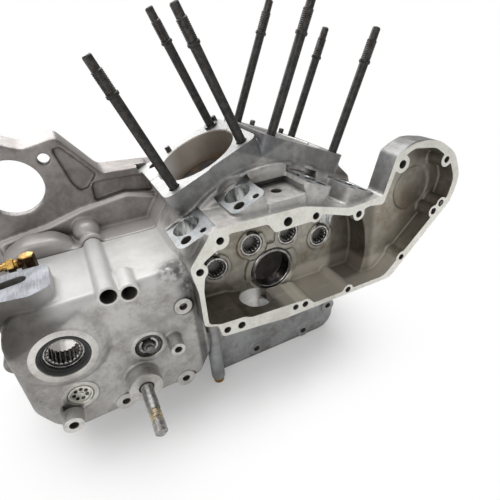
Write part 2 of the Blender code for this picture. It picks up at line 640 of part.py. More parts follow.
def right_half():
    """The right casting: cam chest, near halves of the decks and the gearbox side wall."""
    body = rod("right_crankcase", SIDE, (0, 0), DRUM_R, SIDE_WALL_Y, PARTING_Y - GAP, 64, 1.0)
    adds = [
        base_block("base", SIDE_WALL_Y, PARTING_Y - GAP),
        deck_block("rear_deck", REAR, DECK_NEAR_Y, PARTING_Y - GAP, DECK_CORNER_R, 0.0, REAR_RIDGE),
        deck_block("front_deck", FRONT, DECK_NEAR_Y, PARTING_Y - GAP, DECK_CORNER_R, 0.0, FRONT_RIDGE),
        front_shoulder("shoulder", -50.0, PARTING_Y - GAP),
        rounded_end("gearbox", SIDE, rounded(GEARBOX_OUTLINE), GEARBOX_WALL_Y, PARTING_Y - GAP, 4.0),
        prism("gasket_rim", SIDE, rounded(CHEST_OUTLINE), GASKET_Y, LOBE_BACK_Y),
        chest_body(),
        prism("arch", SIDE, rounded([
            (-96, 60), (-90, 84, 6), (-60, 99, 12), (-42, 100, 8), (-24, 113, 10), (0, 119, 40), (24, 113, 10),
            (42, 100, 8), (60, 99, 12), (90, 84, 6), (96, 60), (60, 20), (-60, 20),
        ]), SIDE_WALL_Y - 2.0, DECK_NEAR_Y + 14.0),
        prism("pad", PLAN, [(-22, -101), (20, -101), (14, -50), (-10, -50)], 60.0, 101.0),
        mainshaft_boss(),
        bracket_pad(),
        rod("countershaft_boss", SIDE, COUNTERSHAFT, 16.0, GEARBOX_WALL_Y - 1.2, -70.0, 28),
        rod("twin_tube", SIDE, TWIN_TUBE, TWIN_TUBE_R, TWIN_NEAR_Y, PARTING_Y - GAP, 20),
        cone("short_boss", SIDE, SHORT_BOSS, (9.0, 11.0), TWIN_NEAR_Y, TWIN_NEAR_Y + 30.0, 20),
        rod("pivot_boss", SIDE, PIVOT, PIVOT_BOSS_R, PIVOT_BOSS_Y, GEARBOX_WALL_Y + 6.0, 28, 1.5),
        rod("shift_boss", SIDE, SHIFT, SHIFT_BUSH_R + 4.0, GEARBOX_WALL_Y - 1.0, -60.0, 24),
        cone("small_boss", SIDE, SMALL_BOSS, (7.0, 9.0), SMALL_BOSS_Y, GEARBOX_WALL_Y + 4.0, 20),
        cone("lower_boss", SIDE, LOWER_BOSS, (9.0, 11.0), LOWER_BOSS_Y, GEARBOX_WALL_Y + 6.0, 20),
        rod("rear_lug", SIDE, REAR_LUG, REAR_LUG_R, -76.0, -44.0, 20, 1.5),
        rod("drain_tube", PLAN, DRAIN_TUBE, DRAIN_TUBE_R, -CRANK_HEIGHT + 7.0, -10.0, 20, 1.0),
    ]
    adds += lifter_blocks()
    adds += case_screw_bosses(0.0, PARTING_Y - GAP, True)
    combine(body, adds, "UNION")

    cuts = [
        rod("chamber", SIDE, (0, 0), CHAMBER_R, -CHAMBER_HALF, PARTING_Y + 5.0, 64),
        rod("rear_bore", REAR, (0, 0), CYLINDER_BORE_R, 30.0, DECK_HEIGHT + 5.0, 40),
        rod("front_bore", FRONT, (0, 0), CYLINDER_BORE_R, 30.0, DECK_HEIGHT + 5.0, 40),
        lobe_pocket(),
        deep_pocket(),
        gearbox_room(),
    ]
    combine(body, cuts, "DIFFERENCE")

    near = GEARBOX_WALL_Y - MAINSHAFT_BOSS_PROUD
    seats = cover_holes() + lifter_bores() + case_screw_holes(PARTING_Y + 5.0)
    seats.append(rod("race_seat", SIDE, (0, 0), RACE_R + GAP, CHEST_FLOOR_Y - 10.0, 0.0, 36))
    cup_end = CHEST_FLOOR_Y - CAM_BOSS_PROUD + CAM_CUP_DROP + BEARING_DEPTH
    for _, place in cam_places():
        seats.append(rod("cam_seat", SIDE, place, CAM_CUP_R + GAP, CHEST_FLOOR_Y - 10.0, cup_end + GAP, 24))
    seats += [
        rod("seal_seat", SIDE, MAINSHAFT, SEAL_R + GAP, near - 7.0, near + SEAL_WIDTH + 2 * GAP, 32),
        rod("countershaft_seat", SIDE, COUNTERSHAFT, COUNTERSHAFT_CUP_R + GAP, GEARBOX_WALL_Y - 5.0, -50.0, 24),
        rod("twin_hole", SIDE, TWIN_TUBE, TWIN_TUBE_HOLE_R, TWIN_NEAR_Y - 5.0, PARTING_Y + 5.0, 16),
        rod("short_hole", SIDE, SHORT_BOSS, SHORT_BOSS_HOLE_R, TWIN_NEAR_Y - 5.0, TWIN_NEAR_Y + 26.0, 16),
        rod("pivot_hole", SIDE, PIVOT, PIVOT_HOLE_R, PIVOT_BOSS_Y - 5.0, PIVOT_BOSS_Y + 16.0, 16),
        rod("shift_hole", SIDE, SHIFT, SHIFT_BUSH_R + GAP, -95.0, -50.0, 24),
        rod("small_hole", SIDE, SMALL_BOSS, 3.2, SMALL_BOSS_Y - 5.0, SMALL_BOSS_Y + 14.0, 10),
        rod("lower_hole", SIDE, LOWER_BOSS, 3.6, LOWER_BOSS_Y - 5.0, LOWER_BOSS_Y + 16.0, 10),
        rod("pad_hole", PLAN, (0, -77), 4.8, 84.0, 110.0, 14),
        rod("drain_bore", PLAN, DRAIN_TUBE, DRAIN_BORE_R, -CRANK_HEIGHT, -CRANK_HEIGHT + 22.0, 12),
        rod("vent_hole", PLAN, VENT, VENT_STEM_R + GAP, GEARBOX_TOP - 14.0, GEARBOX_TOP + 5.0, 12),
    ]
    seats += stud_holes(-1)
    seats += [
        rod("mainshaft_seat", SIDE, MAINSHAFT, MAINSHAFT_CUP_R + GAP, near - 5.0, -50.0, 32),
        rod("pump_bore", PLAN, PUMP_BORE, PUMP_BORE_R, -60.0, -6.0, 28),
        prism("bracket_slot", PLAN, slot_outline(BRACKET_SLOT, BRACKET_SLOT_R), BRACKET_TOP - 25.0, BRACKET_TOP + 5.0),
        rod("lobe_dish", SIDE, LOBE_DISH, LOBE_DISH_R, LOBE_FLOOR_Y - 5.0, LOBE_FLOOR_Y + 1.5, 36),
    ]
    combine(body, seats, "DIFFERENCE")
    return dress(body, CAST, 0.5, 0.6)


def left_half():
    """The left casting: far halves of the decks, gearbox shell and the primary housing."""
    start = PARTING_Y + GAP
    body = rod("left_crankcase", SIDE, (0, 0), DRUM_R, start, LEFT_WALL_Y, 64)
    adds = [
        base_block("base", start, LEFT_WALL_Y),
        deck_block("rear_deck", REAR, start, DECK_FAR_Y, 0.0, DECK_CORNER_R),
        deck_block("front_deck", FRONT, start, DECK_FAR_Y, 0.0, DECK_CORNER_R),
        front_shoulder("shoulder", start, 50.0),
        prism("gearbox", SIDE, rounded(GEARBOX_OUTLINE), start, PLATE_Y + 2.0),
        prism("ledge", SIDE, rounded([
            (-262, 40), (-262, 66, 6), (-214, 72, 20), (-176, 82, 20), (-126, 88, 8), (-92, 78, 6), (-92, 40),
        ]), PLATE_Y - 5.0, PLATE_Y + 2.0, 2.0),
        prism("primary", SIDE, rounded(PRIMARY_OUTLINE), PLATE_Y, LIP_Y, 1.5),
        rounded_end("hump", SIDE, rounded([
            (-260, 36), (-260, 60, 14), (-238, 73, 18), (-208, 71, 16), (-190, 56, 14), (-190, 36),
        ]), start + 0.6, HUMP_FAR_Y, HUMP_EDGE),
        rod("twin_tube", SIDE, TWIN_TUBE, TWIN_TUBE_R + 1.0, start, TWIN_DOME_Y, 20),
        rod("tube_collar", SIDE, TWIN_TUBE, TWIN_TUBE_R + 3.5, start + 0.8, start + 8.0, 20, 1.5),
        solid_turned("dome", SIDE, TWIN_DOME, [
            (TWIN_DOME_R * math.cos(turn), TWIN_DOME_Y - TWIN_DOME_R * math.sin(turn))
            for turn in (1.25, 0.94, 0.63, 0.32, 0.0)
        ] + [(TWIN_DOME_R, PLATE_Y + 1.0)], 20),
    ]
    adds += case_screw_bosses(start, PLATE_Y + 2.0, False)
    combine(body, adds, "UNION")

    inner = rounded([
        (-286, 143, 18), (-235, 158, 12), (-211, 147, 12), (-183, 152, 4), (-149, 109, 8), (-92, 105, 18),
        (8, 97, 56), (81, 64, 46), (81, -61, 46), (1, -CRANK_HEIGHT + 5, 26), (-238, -CRANK_HEIGHT + 5, 44),
        (-293, -58, 56), (-293, 58, 56),
    ])
    cuts = [
        rod("chamber", SIDE, (0, 0), CHAMBER_R, start - 5.0, CHAMBER_HALF, 64),
        rod("rear_bore", REAR, (0, 0), CYLINDER_BORE_R, 30.0, DECK_HEIGHT + 5.0, 40),
        rod("front_bore", FRONT, (0, 0), CYLINDER_BORE_R, 30.0, DECK_HEIGHT + 5.0, 40),
        far_gearbox_room(start),
        prism("primary_room", SIDE, inner, LEFT_WALL_Y, LIP_Y + 5.0),
        prism("rib_pocket", SIDE, rounded([
            (-186, 150, 3), (-178, 150, 3), (-151, 116, 3), (-162, 103, 3), (-171, 101, 5), (-177, 112, 5),
        ]), PLATE_Y - 5.0, PLATE_Y + 5.0),
        prism("wall_pocket", SIDE, rounded([
            (-158, 108, 3), (-99, 105, 2), (-95, 84, 2), (-127, 90.5, 8), (-160, 86, 3),
        ]), PLATE_Y - 5.0, PLATE_Y + 7.0),
    ]
    combine(body, cuts, "DIFFERENCE")

    holes = [
        rod("starter_hole", SIDE, STARTER_HOLE, STARTER_HOLE_R, PLATE_Y - 8.0, LIP_Y, 40),
        rod("small_hole", SIDE, (-195.0, 141.0), 5.6, PLATE_Y - 8.0, LIP_Y, 16),
        rod("trapdoor", SIDE, TRAPDOOR, TRAPDOOR_R, PLATE_Y - 8.0, LIP_Y, 48),
        rod("race_seat", SIDE, (0, 0), LEFT_RACE_R + GAP, CHAMBER_HALF - 5.0, LIP_Y, 36),
        rod("twin_hole", SIDE, TWIN_TUBE, TWIN_TUBE_HOLE_R, start - 5.0, TWIN_DOME_Y - 6.0, 16),
    ]
    holes += case_screw_holes(LEFT_WALL_Y + 2.0) + stud_holes(1) + dowel_holes()
    combine(body, holes, "DIFFERENCE")
    return dress(body, CAST_DARK, 0.55, 0.6)


def cylinder_stud(name, frame, a, y):
    bottom = DECK_HEIGHT - STUD_DEPTH
    top = DECK_HEIGHT + STUD_SHANK
    profile = [
        (STUD_R, bottom), (STUD_R, top), (STUD_COLLAR_R, top), (STUD_COLLAR_R, top + STUD_COLLAR),
        (STUD_THREAD_R, top + STUD_COLLAR), (STUD_THREAD_R, top + STUD_COLLAR + STUD_THREAD),
        (STUD_TIP_R, top + STUD_COLLAR + STUD_THREAD),
        (STUD_TIP_R, top + STUD_COLLAR + STUD_THREAD + STUD_TIP - 1.0),
        (STUD_TIP_R - 1.0, top + STUD_COLLAR + STUD_THREAD + STUD_TIP),
    ]
    return dress(solid_turned(name, frame, (a, y), profile, 12), BLACK, 0.55, 0.7)


def studs():
    for name, (frame, a, y) in STUD_PLACES.items():
        cylinder_stud(name, frame, a, y)
    washer = [(STUD_R + GAP, DECK_HEIGHT + GAP), (7.8, DECK_HEIGHT + GAP), (7.8, DECK_HEIGHT + 2.8),
              (STUD_R + GAP, DECK_HEIGHT + 2.8)]
    frame, a, y = STUD_PLACES["rear_stud_3"]
    dress(turned("stud_washer", frame, (a, y), washer, 16), DARK_STEEL, 0.6)


def dowels():
    for name, (frame, a, y) in DOWEL_PLACES.items():
        profile = [
            (DOWEL_R, DECK_HEIGHT - DOWEL_DEPTH), (DOWEL_R, DECK_HEIGHT + DOWEL_PROUD - 0.8),
            (DOWEL_R - 0.8, DECK_HEIGHT + DOWEL_PROUD),
        ]
        dress(solid_turned(name, frame, (a, y), profile, 10), DARK_STEEL, 0.6)


def needle_cup(name, place, radius, wall, near, depth):
    """A drawn cup: a thin sleeve with a small lip turned in at its near end."""
    profile = [
        (radius, near), (radius, near + depth), (radius - wall, near + depth),
        (radius - wall, near + 1.0), (radius - 1.6 * wall, near + 1.0), (radius - 1.6 * wall, near),
    ]
    return dress(turned(name, SIDE, place, profile, 24), STEEL, 0.35)


def needle_set(name, place, radius, roller_r, count, near, far):
    """Needle rollers in their cage: a ring whose bore shows one half-round rib per roller."""
    outline_out = []
    outline_in = []
    pitch = radius - roller_r
    steps = 4
    for index in range(count):
        middle = 2.0 * math.pi * index / count
        for part in range(steps + 1):
            turn = -math.pi / 2.0 + math.pi * part / steps
            across = roller_r * math.sin(turn)
            inward = pitch - roller_r * math.cos(turn)
            angle = middle + across / pitch
            outline_in.append((inward * math.cos(angle), inward * math.sin(angle)))
            outline_out.append((radius * math.cos(angle), radius * math.sin(angle)))
    data = bmesh.new()
    rings = []
    for points, depth in ((outline_out, near), (outline_out, far), (outline_in, far), (outline_in, near)):
        rings.append([data.verts.new(SIDE.point(place[0] + a, place[1] + b, depth)) for a, b in points])
    total = len(outline_in)
    for first, second in zip(rings, rings[1:] + rings[:1]):
        for index in range(total):
            follow = (index + 1) % total
            data.faces.new((first[index], first[follow], second[follow], second[index]))
    bmesh.ops.recalc_face_normals(data, faces=data.faces)
    return dress(mesh_object(name, data), DARK_STEEL, 0.3)


def bearings():
    near = CHEST_FLOOR_Y - CAM_BOSS_PROUD + CAM_CUP_DROP
    for number, place in cam_places():
        needle_cup("cam_bearing_%d" % number, place, CAM_CUP_R, CAM_CUP_WALL, near, BEARING_DEPTH)
        rollers = needle_set("cam_rollers_%d" % number, place, CAM_CUP_R - CAM_CUP_WALL - GAP, CAM_ROLLER_R,
                             CAM_ROLLER_COUNT, near + 1.0 + GAP, near + BEARING_DEPTH - 0.5)
        centre_on(rollers, SIDE, place, near)
    profile = [(RACE_R, CHEST_FLOOR_Y - 5.0), (RACE_R, -CHAMBER_HALF - 1.0),
               (RACE_R - RACE_WALL, -CHAMBER_HALF - 1.0), (RACE_R - RACE_WALL, CHEST_FLOOR_Y - 5.0)]
    dress(turned("pinion_race", SIDE, (0, 0), profile, 36), DARK_STEEL, 0.25)
    profile = [(LEFT_RACE_R, CHAMBER_HALF + 0.5), (LEFT_RACE_R, LEFT_WALL_Y + 1.0),
               (LEFT_RACE_R - RACE_WALL, LEFT_WALL_Y + 1.0), (LEFT_RACE_R - RACE_WALL, CHAMBER_HALF + 0.5)]
    dress(turned("sprocket_race", SIDE, (0, 0), profile, 36), DARK_STEEL, 0.25)

    near = GEARBOX_WALL_Y - MAINSHAFT_BOSS_PROUD
    cup = near + SEAL_WIDTH + GAP
    needle_cup("mainshaft_bearing", MAINSHAFT, MAINSHAFT_CUP_R, MAINSHAFT_CUP_WALL, cup, 20.0)
    rollers = needle_set("mainshaft_rollers", MAINSHAFT, MAINSHAFT_CUP_R - MAINSHAFT_CUP_WALL - GAP,
                         MAINSHAFT_ROLLER_R, MAINSHAFT_ROLLER_COUNT, cup + 1.0 + GAP, cup + 19.5)
    centre_on(rollers, SIDE, MAINSHAFT, cup)
    profile = [(SEAL_R, near), (SEAL_R, near + SEAL_WIDTH), (16.8, near + SEAL_WIDTH),
               (16.8, near + 3.0), (18.6, near + 1.0), (19.4, near)]
    dress(turned("mainshaft_seal", SIDE, MAINSHAFT, profile, 32), BLACK, 0.7, 0.0)
    near = GEARBOX_WALL_Y - 1.0
    profile = [(COUNTERSHAFT_CUP_R - 1.0, near - 0.6), (COUNTERSHAFT_CUP_R, near + 0.4), (COUNTERSHAFT_CUP_R, near + 18.0)]
    cup_body = solid_turned("countershaft_bearing", SIDE, COUNTERSHAFT, profile, 24)
    combine(cup_body, [rod("bore", SIDE, COUNTERSHAFT, COUNTERSHAFT_CUP_R - 1.4, near + 2.0, near + 25.0, 24)], "DIFFERENCE")
    dress(cup_body, STEEL, 0.4)
    rollers = needle_set("countershaft_rollers", COUNTERSHAFT, COUNTERSHAFT_CUP_R - 1.4 - GAP, 1.4, 14,
                         near + 2.0 + GAP, near + 17.5)
    centre_on(rollers, SIDE, COUNTERSHAFT, near)


def centre_on(piece, frame, place, depth):
    """Put the origin of a piece on the axis that it turns about."""
    spot = frame.point(place[0], place[1], depth)
    piece.data.transform(Matrix.Translation(-spot))
    piece.location = spot
    return piece


def gearbox_fittings():
    near = GEARBOX_WALL_Y - 1.0
    profile = [(SHIFT_BUSH_R, near + 1.0), (SHIFT_BUSH_R, near + 20.0), (6.0, near + 20.0), (6.0, near + 3.0),
               (9.5, near + 3.0), (9.5, near + 1.0)]
    dress(turned("shift_bushing", SIDE, SHIFT, profile, 24), DARK_STEEL, 0.5)
    profile = [(4.2, near - 6.0), (4.2, near - 3.0), (5.6, near - 3.0), (5.6, near + 24.0)]
    shaft = dress(solid_turned("shift_shaft", SIDE, SHIFT, profile, 16), STEEL, 0.35)
    centre_on(shaft, SIDE, SHIFT, near)
    profile = [
        (PIVOT_HOLE_R - GAP, PIVOT_BOSS_Y + 15.0), (PIVOT_HOLE_R - GAP, PIVOT_BOSS_Y - 1.5),
        (5.9, PIVOT_BOSS_Y - 2.0), (5.9, PIVOT_BOSS_Y - 34.0), (5.5, PIVOT_BOSS_Y - 35.0),
        (5.5, PIVOT_BOSS_Y - 54.0), (4.5, PIVOT_BOSS_Y - 55.0),
    ]
    dress(solid_turned("pivot_stud", SIDE, PIVOT, profile, 16), STEEL, 0.5)
    vent()
    profile = [
        (DRAIN_BORE_R - GAP, -CRANK_HEIGHT + 20.0), (DRAIN_BORE_R - GAP, -CRANK_HEIGHT + 6.7),
        (6.2, -CRANK_HEIGHT + 6.7), (6.2, -CRANK_HEIGHT + 1.5),
    ]
    dress(solid_turned("drain_plug", PLAN, DRAIN_TUBE, profile, 12), BRASS, 0.5)
    place = COVER_HOLES[7][:2]
    profile = [(2.9, GASKET_Y - 0.8), (COVER_HOLES[7][2] - GAP, GASKET_Y + 0.5),
               (COVER_HOLES[7][2] - GAP, GASKET_Y + 16.0)]
    dress(solid_turned("broken_screw", SIDE, place, profile, 10), DARK_STEEL, 0.7)


def vent():
    """A six-sided elbow on the gearbox top with a pipe that leaves it to the rear."""
    body = prism("vent_fitting", PLAN, circle(VENT, VENT_HEX_R, 6, 0.3), GEARBOX_TOP + GAP, VENT_TOP, 0.6)
    rear = Frame(CRANK + Vector((VENT[0], VENT[1], VENT_TOP - 7.0)), Y_AXIS, Z_AXIS, -X_AXIS)
    joins = [
        rod("stem", PLAN, VENT, VENT_STEM_R, GEARBOX_TOP - 12.0, GEARBOX_TOP + 3.0, 12),
        rod("branch", rear, (0, 0), 4.6, 2.0, 20.0, 12),
        prism("nut", rear, circle((0, 0), 6.2, 6), 11.0, 17.5, 0.4),
    ]
    combine(body, joins, "UNION")
    combine(body, [rod("bore", rear, (0, 0), VENT_PIPE_R + GAP, 8.0, 25.0, 12)], "DIFFERENCE")
    dress(body, BRASS, 0.4)
    profile = [(VENT_PIPE_R, 9.0), (VENT_PIPE_R, 44.0), (VENT_PIPE_R - 0.9, 44.0), (VENT_PIPE_R - 0.9, 9.0)]
    dress(turned("vent_pipe", rear, (0, 0), profile, 12), BRASS, 0.35)


def case_screws():
    for name, x, z, near, _ in CASE_SCREWS:
        head = LEFT_WALL_Y + GAP
        profile = [(SCREW_R, near + 4.0), (SCREW_R, head), (4.6, head), (4.6, head + 6.0)]
        dress(solid_turned(name, SIDE, (x, z), profile, 10), STEEL, 0.5)


def main():
    for piece in list(bpy.data.objects):
        bpy.data.objects.remove(piece)
    right_half()
    left_half()
    studs()
    dowels()
    bearings()
    gearbox_fittings()
    case_screws()


main()
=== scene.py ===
"""The look of a V-twin crankcase: softened castings, machined faces, bearings, studs and finishes.

Sizes are in millimetres from the crank axis until a piece is made; X points forward, Y to the
engine's left and Z up.
"""
import math
from dataclasses import dataclass

import bmesh
import bpy
import numpy as np
from mathutils import Matrix, Vector


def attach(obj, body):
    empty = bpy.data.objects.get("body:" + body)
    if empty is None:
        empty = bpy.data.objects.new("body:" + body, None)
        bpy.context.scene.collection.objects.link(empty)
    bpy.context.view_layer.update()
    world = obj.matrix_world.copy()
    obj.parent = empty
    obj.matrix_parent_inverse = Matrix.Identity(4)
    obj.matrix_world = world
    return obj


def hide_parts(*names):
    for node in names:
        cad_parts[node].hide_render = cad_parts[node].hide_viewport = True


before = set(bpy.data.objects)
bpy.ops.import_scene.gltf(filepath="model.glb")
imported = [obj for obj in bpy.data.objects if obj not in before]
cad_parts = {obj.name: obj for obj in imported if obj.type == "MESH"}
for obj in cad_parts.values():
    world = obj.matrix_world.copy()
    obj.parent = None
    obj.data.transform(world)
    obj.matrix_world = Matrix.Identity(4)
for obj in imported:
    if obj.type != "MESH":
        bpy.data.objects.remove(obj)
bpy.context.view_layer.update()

MM = 0.001
CRANK_HEIGHT = 126.0
DECK_HEIGHT = 140.0
CYLINDER_TILT = math.radians(22.5)
X_AXIS = Vector((1.0, 0.0, 0.0))
Y_AXIS = Vector((0.0, 1.0, 0.0))
Z_AXIS = Vector((0.0, 0.0, 1.0))
CRANK = Vector((0.0, 0.0, CRANK_HEIGHT))
CENTRE = (0.0, 0.0)


class Frame:
    """A place to draw in: outlines use a and b, depths run along n."""

    def __init__(self, origin, a, b, n):
        self.origin = Vector(origin)
        self.a = a
        self.b = b
        self.n = n

    def point(self, a, b, n):
        return (self.origin + a * self.a + b * self.b + n * self.n) * MM

    def coordinates(self, points):
        """The (a, b, n) of an array of points in metres."""
        return (points / MM - np.array(self.origin)) @ np.array([self.a, self.b, self.n]).T


def cylinder_frame(side):
    """The frame of the rear (-1) or front (1) cylinder: a runs inward, n along the cylinder."""
    sine = math.sin(CYLINDER_TILT)
    cosine = math.cos(CYLINDER_TILT)
    along = Vector((side * sine, 0.0, cosine))
    inward = Vector((-side * cosine, 0.0, sine))
    return Frame(CRANK, inward, Y_AXIS, along)


SIDE = Frame(CRANK, X_AXIS, Z_AXIS, Y_AXIS)
PLAN = Frame(CRANK, X_AXIS, Y_AXIS, Z_AXIS)
REAR = cylinder_frame(-1)
FRONT = cylinder_frame(1)


def around(centre, radius, angle):
    return centre[0] + radius * math.cos(angle), centre[1] + radius * math.sin(angle)


def circle(centre, radius, count=64, start=0.0):
    return [around(centre, radius, start + 2.0 * math.pi * step / count) for step in range(count)]


def new_piece(name, data):
    """An object from mesh data, which is used up."""
    mesh = bpy.data.meshes.new(name)
    data.to_mesh(mesh)
    data.free()
    piece = bpy.data.objects.new(name, mesh)
    bpy.context.scene.collection.objects.link(piece)
    return piece


def new_solid(name, data):
    bmesh.ops.recalc_face_normals(data, faces=data.faces)
    return new_piece(name, data)


def skin(data, rings, capped=True):
    """Join rings of vertices by faces, one ring to the next, with a cap on each end."""
    if capped:
        data.faces.new(rings[0])
        data.faces.new(rings[-1])
    count = len(rings[0])
    for ring, other in zip(rings, rings[1:]):
        for index in range(count):
            follow = (index + 1) % count
            data.faces.new((ring[index], ring[follow], other[follow], other[index]))


def loft(name, place, sections):
    """A closed solid through outlines with equal point counts."""
    data = bmesh.new()
    skin(data, [[data.verts.new(place.point(a, b, depth)) for a, b in outline]
                for outline, depth in sections])
    return new_solid(name, data)


def prism(name, place, outline, start, end):
    return loft(name, place, [(outline, start), (outline, end)])


def turned(name, place, centre, profile, count=64, closed=True):
    """A turned piece: profile is (radius, depth), a loop if closed, else a run with flat ends."""
    if not closed:
        return loft(name, place, [(circle(centre, radius, count), depth) for radius, depth in profile])
    data = bmesh.new()
    rings = []
    for step in range(count):
        angle = 2.0 * math.pi * step / count
        rings.append([data.verts.new(place.point(*around(centre, radius, angle), depth))
                      for radius, depth in profile])
    skin(data, rings + rings[:1], False)
    return new_solid(name, data)


def rounded_profile(profile, edge=0.3):
    """A closed profile with every corner cut by a small chamfer."""
    result = []
    size = len(profile)
    for index in range(size):
        here = Vector(profile[index])
        for other in (Vector(profile[index - 1]), Vector(profile[(index + 1) % size])):
            along = other - here
            result.append(tuple(here + along * min(0.4, edge / along.length)))
    return result


def threaded(name, place, centre, runs, pitch=1.7, count=28):
    """A turned rod from runs of (radius, depth, groove); a groove is a thread up to the next run."""
    data = bmesh.new()
    rings = []
    for (radius, start, groove), (_, end, _) in zip(runs, runs[1:] + runs[-1:]):
        steps = max(1, round(abs(end - start) / pitch * 6.0)) if groove > 0.0 else 1
        for step in range(steps):
            depth = start + (end - start) * step / steps
            ring = []
            for index in range(count):
                share = index / count
                wave = abs(((depth / pitch - share) % 1.0) * 2.0 - 1.0)
                spot = around(centre, radius - groove * wave, 2.0 * math.pi * share)
                ring.append(data.verts.new(place.point(*spot, depth)))
            rings.append(ring)
    skin(data, rings)
    return new_solid(name, data)


def joined(name, pieces):
    """One object from several closed pieces, each keeping its place in the list as material number."""
    data = bmesh.new()
    for number, piece in enumerate(pieces):
        before = len(data.faces)
        data.from_mesh(piece.data)
        data.faces.ensure_lookup_table()
        for face in data.faces[before:]:
            face.material_index = number
        bpy.data.objects.remove(piece)
    return new_piece(name, data)


def stands_for(piece, node, body):
    """A piece shown instead of a CAD node, moving with its body."""
    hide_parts(node)
    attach(piece, body)


def dressed(piece, node, body, finishes):
    """Give a piece its finishes and put it in the place of a CAD node."""
    for finish in finishes:
        piece.data.materials.append(finish)
    piece.data.shade_smooth()
    piece.data.set_sharp_from_angle(angle=math.radians(35.0))
    stands_for(piece, node, body)


# The castings: metal is added on the machined faces, all edges are softened, and the faces and bores
# are then cut to size.
STOCK = 2.6
CUT_DEPTH = 7.0
LEAD_IN = 3.0
FACE_REACH = 2.4
TRIANGLES = 195000


@dataclass
class Faced:
    """A machined flat: where it is, how far it spreads and which way it looks."""

    place: Frame
    low: tuple
    high: tuple
    depth: float
    outward: float
    spread: float = 2.5

    def picks(self, spots, reach, slack):
        """Which points lie on the flat."""
        inside = np.abs(spots[:, 2] - self.depth) < slack
        for axis in (0, 1):
            inside &= spots[:, axis] > self.low[axis] - reach
            inside &= spots[:, axis] < self.high[axis] + reach
        return inside

    def outline(self):
        a0, b0 = (value - self.spread for value in self.low)
        a1, b1 = (value + self.spread for value in self.high)
        return [(a0, b0), (a1, b0), (a1, b1), (a0, b1)]

    def cutter(self):
        end = self.depth + self.outward * CUT_DEPTH
        return prism("facing", self.place, self.outline(), self.depth, end)


class FacedDisc(Faced):
    """A machined flat on the end of a round boss."""

    def __init__(self, centre, radius, depth, outward=-1.0):
        self.centre = centre
        self.radius = radius
        super().__init__(SIDE, centre, centre, depth, outward)

    def picks(self, spots, reach, slack):
        away = np.hypot(spots[:, 0] - self.centre[0], spots[:, 1] - self.centre[1])
        return (np.abs(spots[:, 2] - self.depth) < slack) & (away < self.radius + reach)

    def outline(self):
        return circle(self.centre, self.radius + self.spread, 48)


@dataclass
class Bored:
    """A machined bore, with a small chamfer at its mouth."""

    place: Frame
    centre: tuple
    radius: float
    mouth: float
    end: float
    chamfer: float = 0.6
    count: int = 64

    def cutter(self):
        way = 1.0 if self.end > self.mouth else -1.0
        before = self.mouth - way * LEAD_IN
        sections = [(self.radius, before)]
        if self.chamfer > 0.0:
            wide = self.radius + self.chamfer
            inner = self.mouth + way * self.chamfer
            sections = [(wide + LEAD_IN, before), (wide, self.mouth), (self.radius, inner)]
        sections.append((self.radius, self.end))
        outlines = [(circle(self.centre, radius, self.count, 0.01), depth) for radius, depth in sections]
        return loft("bore", self.place, outlines)

    def picks(self, spots, slack):
        """Which points lie on the wall of the bore."""
        away = np.hypot(spots[:, 0] - self.centre[0], spots[:, 1] - self.centre[1])
        low, high = sorted((self.mouth, self.end))
        inside = np.abs(away - self.radius - 0.5 * self.chamfer) < slack + 0.5 * self.chamfer
        return inside & (spots[:, 2] > low - 0.3) & (spots[:, 2] < high + 0.3)


def modify(piece, kind, **settings):
    modifier = piece.modifiers.new(kind.lower(), kind)
    for key, value in settings.items():
        setattr(modifier, key, value)


def bake(piece):
    """Turn the modifiers of a piece into its own mesh."""
    graph = bpy.context.evaluated_depsgraph_get()
    mesh = bpy.data.meshes.new_from_object(piece.evaluated_get(graph))
    piece.modifiers.clear()
    old = piece.data
    piece.data = mesh
    bpy.data.meshes.remove(old)


def machine(piece, cutters):
    """Cut all cutters from a piece at once, and remove them."""
    tool = cutters[0]
    for cutter in cutters[1:]:
        modify(tool, "BOOLEAN", operation="UNION", solver="MANIFOLD", object=cutter)
    bake(tool)
    modify(piece, "BOOLEAN", operation="DIFFERENCE", solver="MANIFOLD", object=tool)
    bake(piece)
    for cutter in cutters:
        bpy.data.objects.remove(cutter)


def softened(name, node, faces, bores, voxel):
    """A copy of a casting with rounded cast edges, then faced and bored as the real one is."""
    data = bmesh.new()
    data.from_mesh(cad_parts[node].data)
    bmesh.ops.remove_doubles(data, verts=data.verts, dist=2e-6)
    spots = np.array([vertex.co for vertex in data.verts])
    moves = np.zeros_like(spots)
    for face in faces:
        picked = face.picks(face.place.coordinates(spots), 0.1, 0.03)
        moves[picked] = np.array(face.place.n) * face.outward * STOCK * MM
    for vertex, move in zip(data.verts, moves):
        vertex.co += Vector(move)
    piece = new_piece(name, data)
    modify(piece, "REMESH", mode="VOXEL", voxel_size=voxel * MM)
    modify(piece, "SMOOTH", factor=0.5, iterations=8)
    bake(piece)
    machine(piece, [face.cutter() for face in faces] + [bore.cutter() for bore in bores])
    triangles = sum(len(face.vertices) - 2 for face in piece.data.polygons)
    modify(piece, "DECIMATE", ratio=min(1.0, TRIANGLES / triangles))
    bake(piece)
    return piece


def face_table(piece, what):
    """The centre or normal of every face, in metres."""
    values = np.empty(len(piece.data.polygons) * 3)
    piece.data.polygons.foreach_get(what, values)
    return values.reshape(-1, 3)


def finish_faces(piece, finishes, choose):
    """Give every face one of the finishes; choose yields the picked faces with their finish."""
    piece.data.materials.clear()
    for finish in finishes:
        piece.data.materials.append(finish)
    centres = face_table(piece, "center")
    kinds = np.zeros(len(centres), dtype=np.int32)
    for picked, finish in choose(centres, face_table(piece, "normal")):
        kinds[picked] = finishes.index(finish)
    piece.data.polygons.foreach_set("material_index", kinds)
    piece.data.shade_smooth()
    piece.data.set_sharp_from_angle(angle=math.radians(40.0))


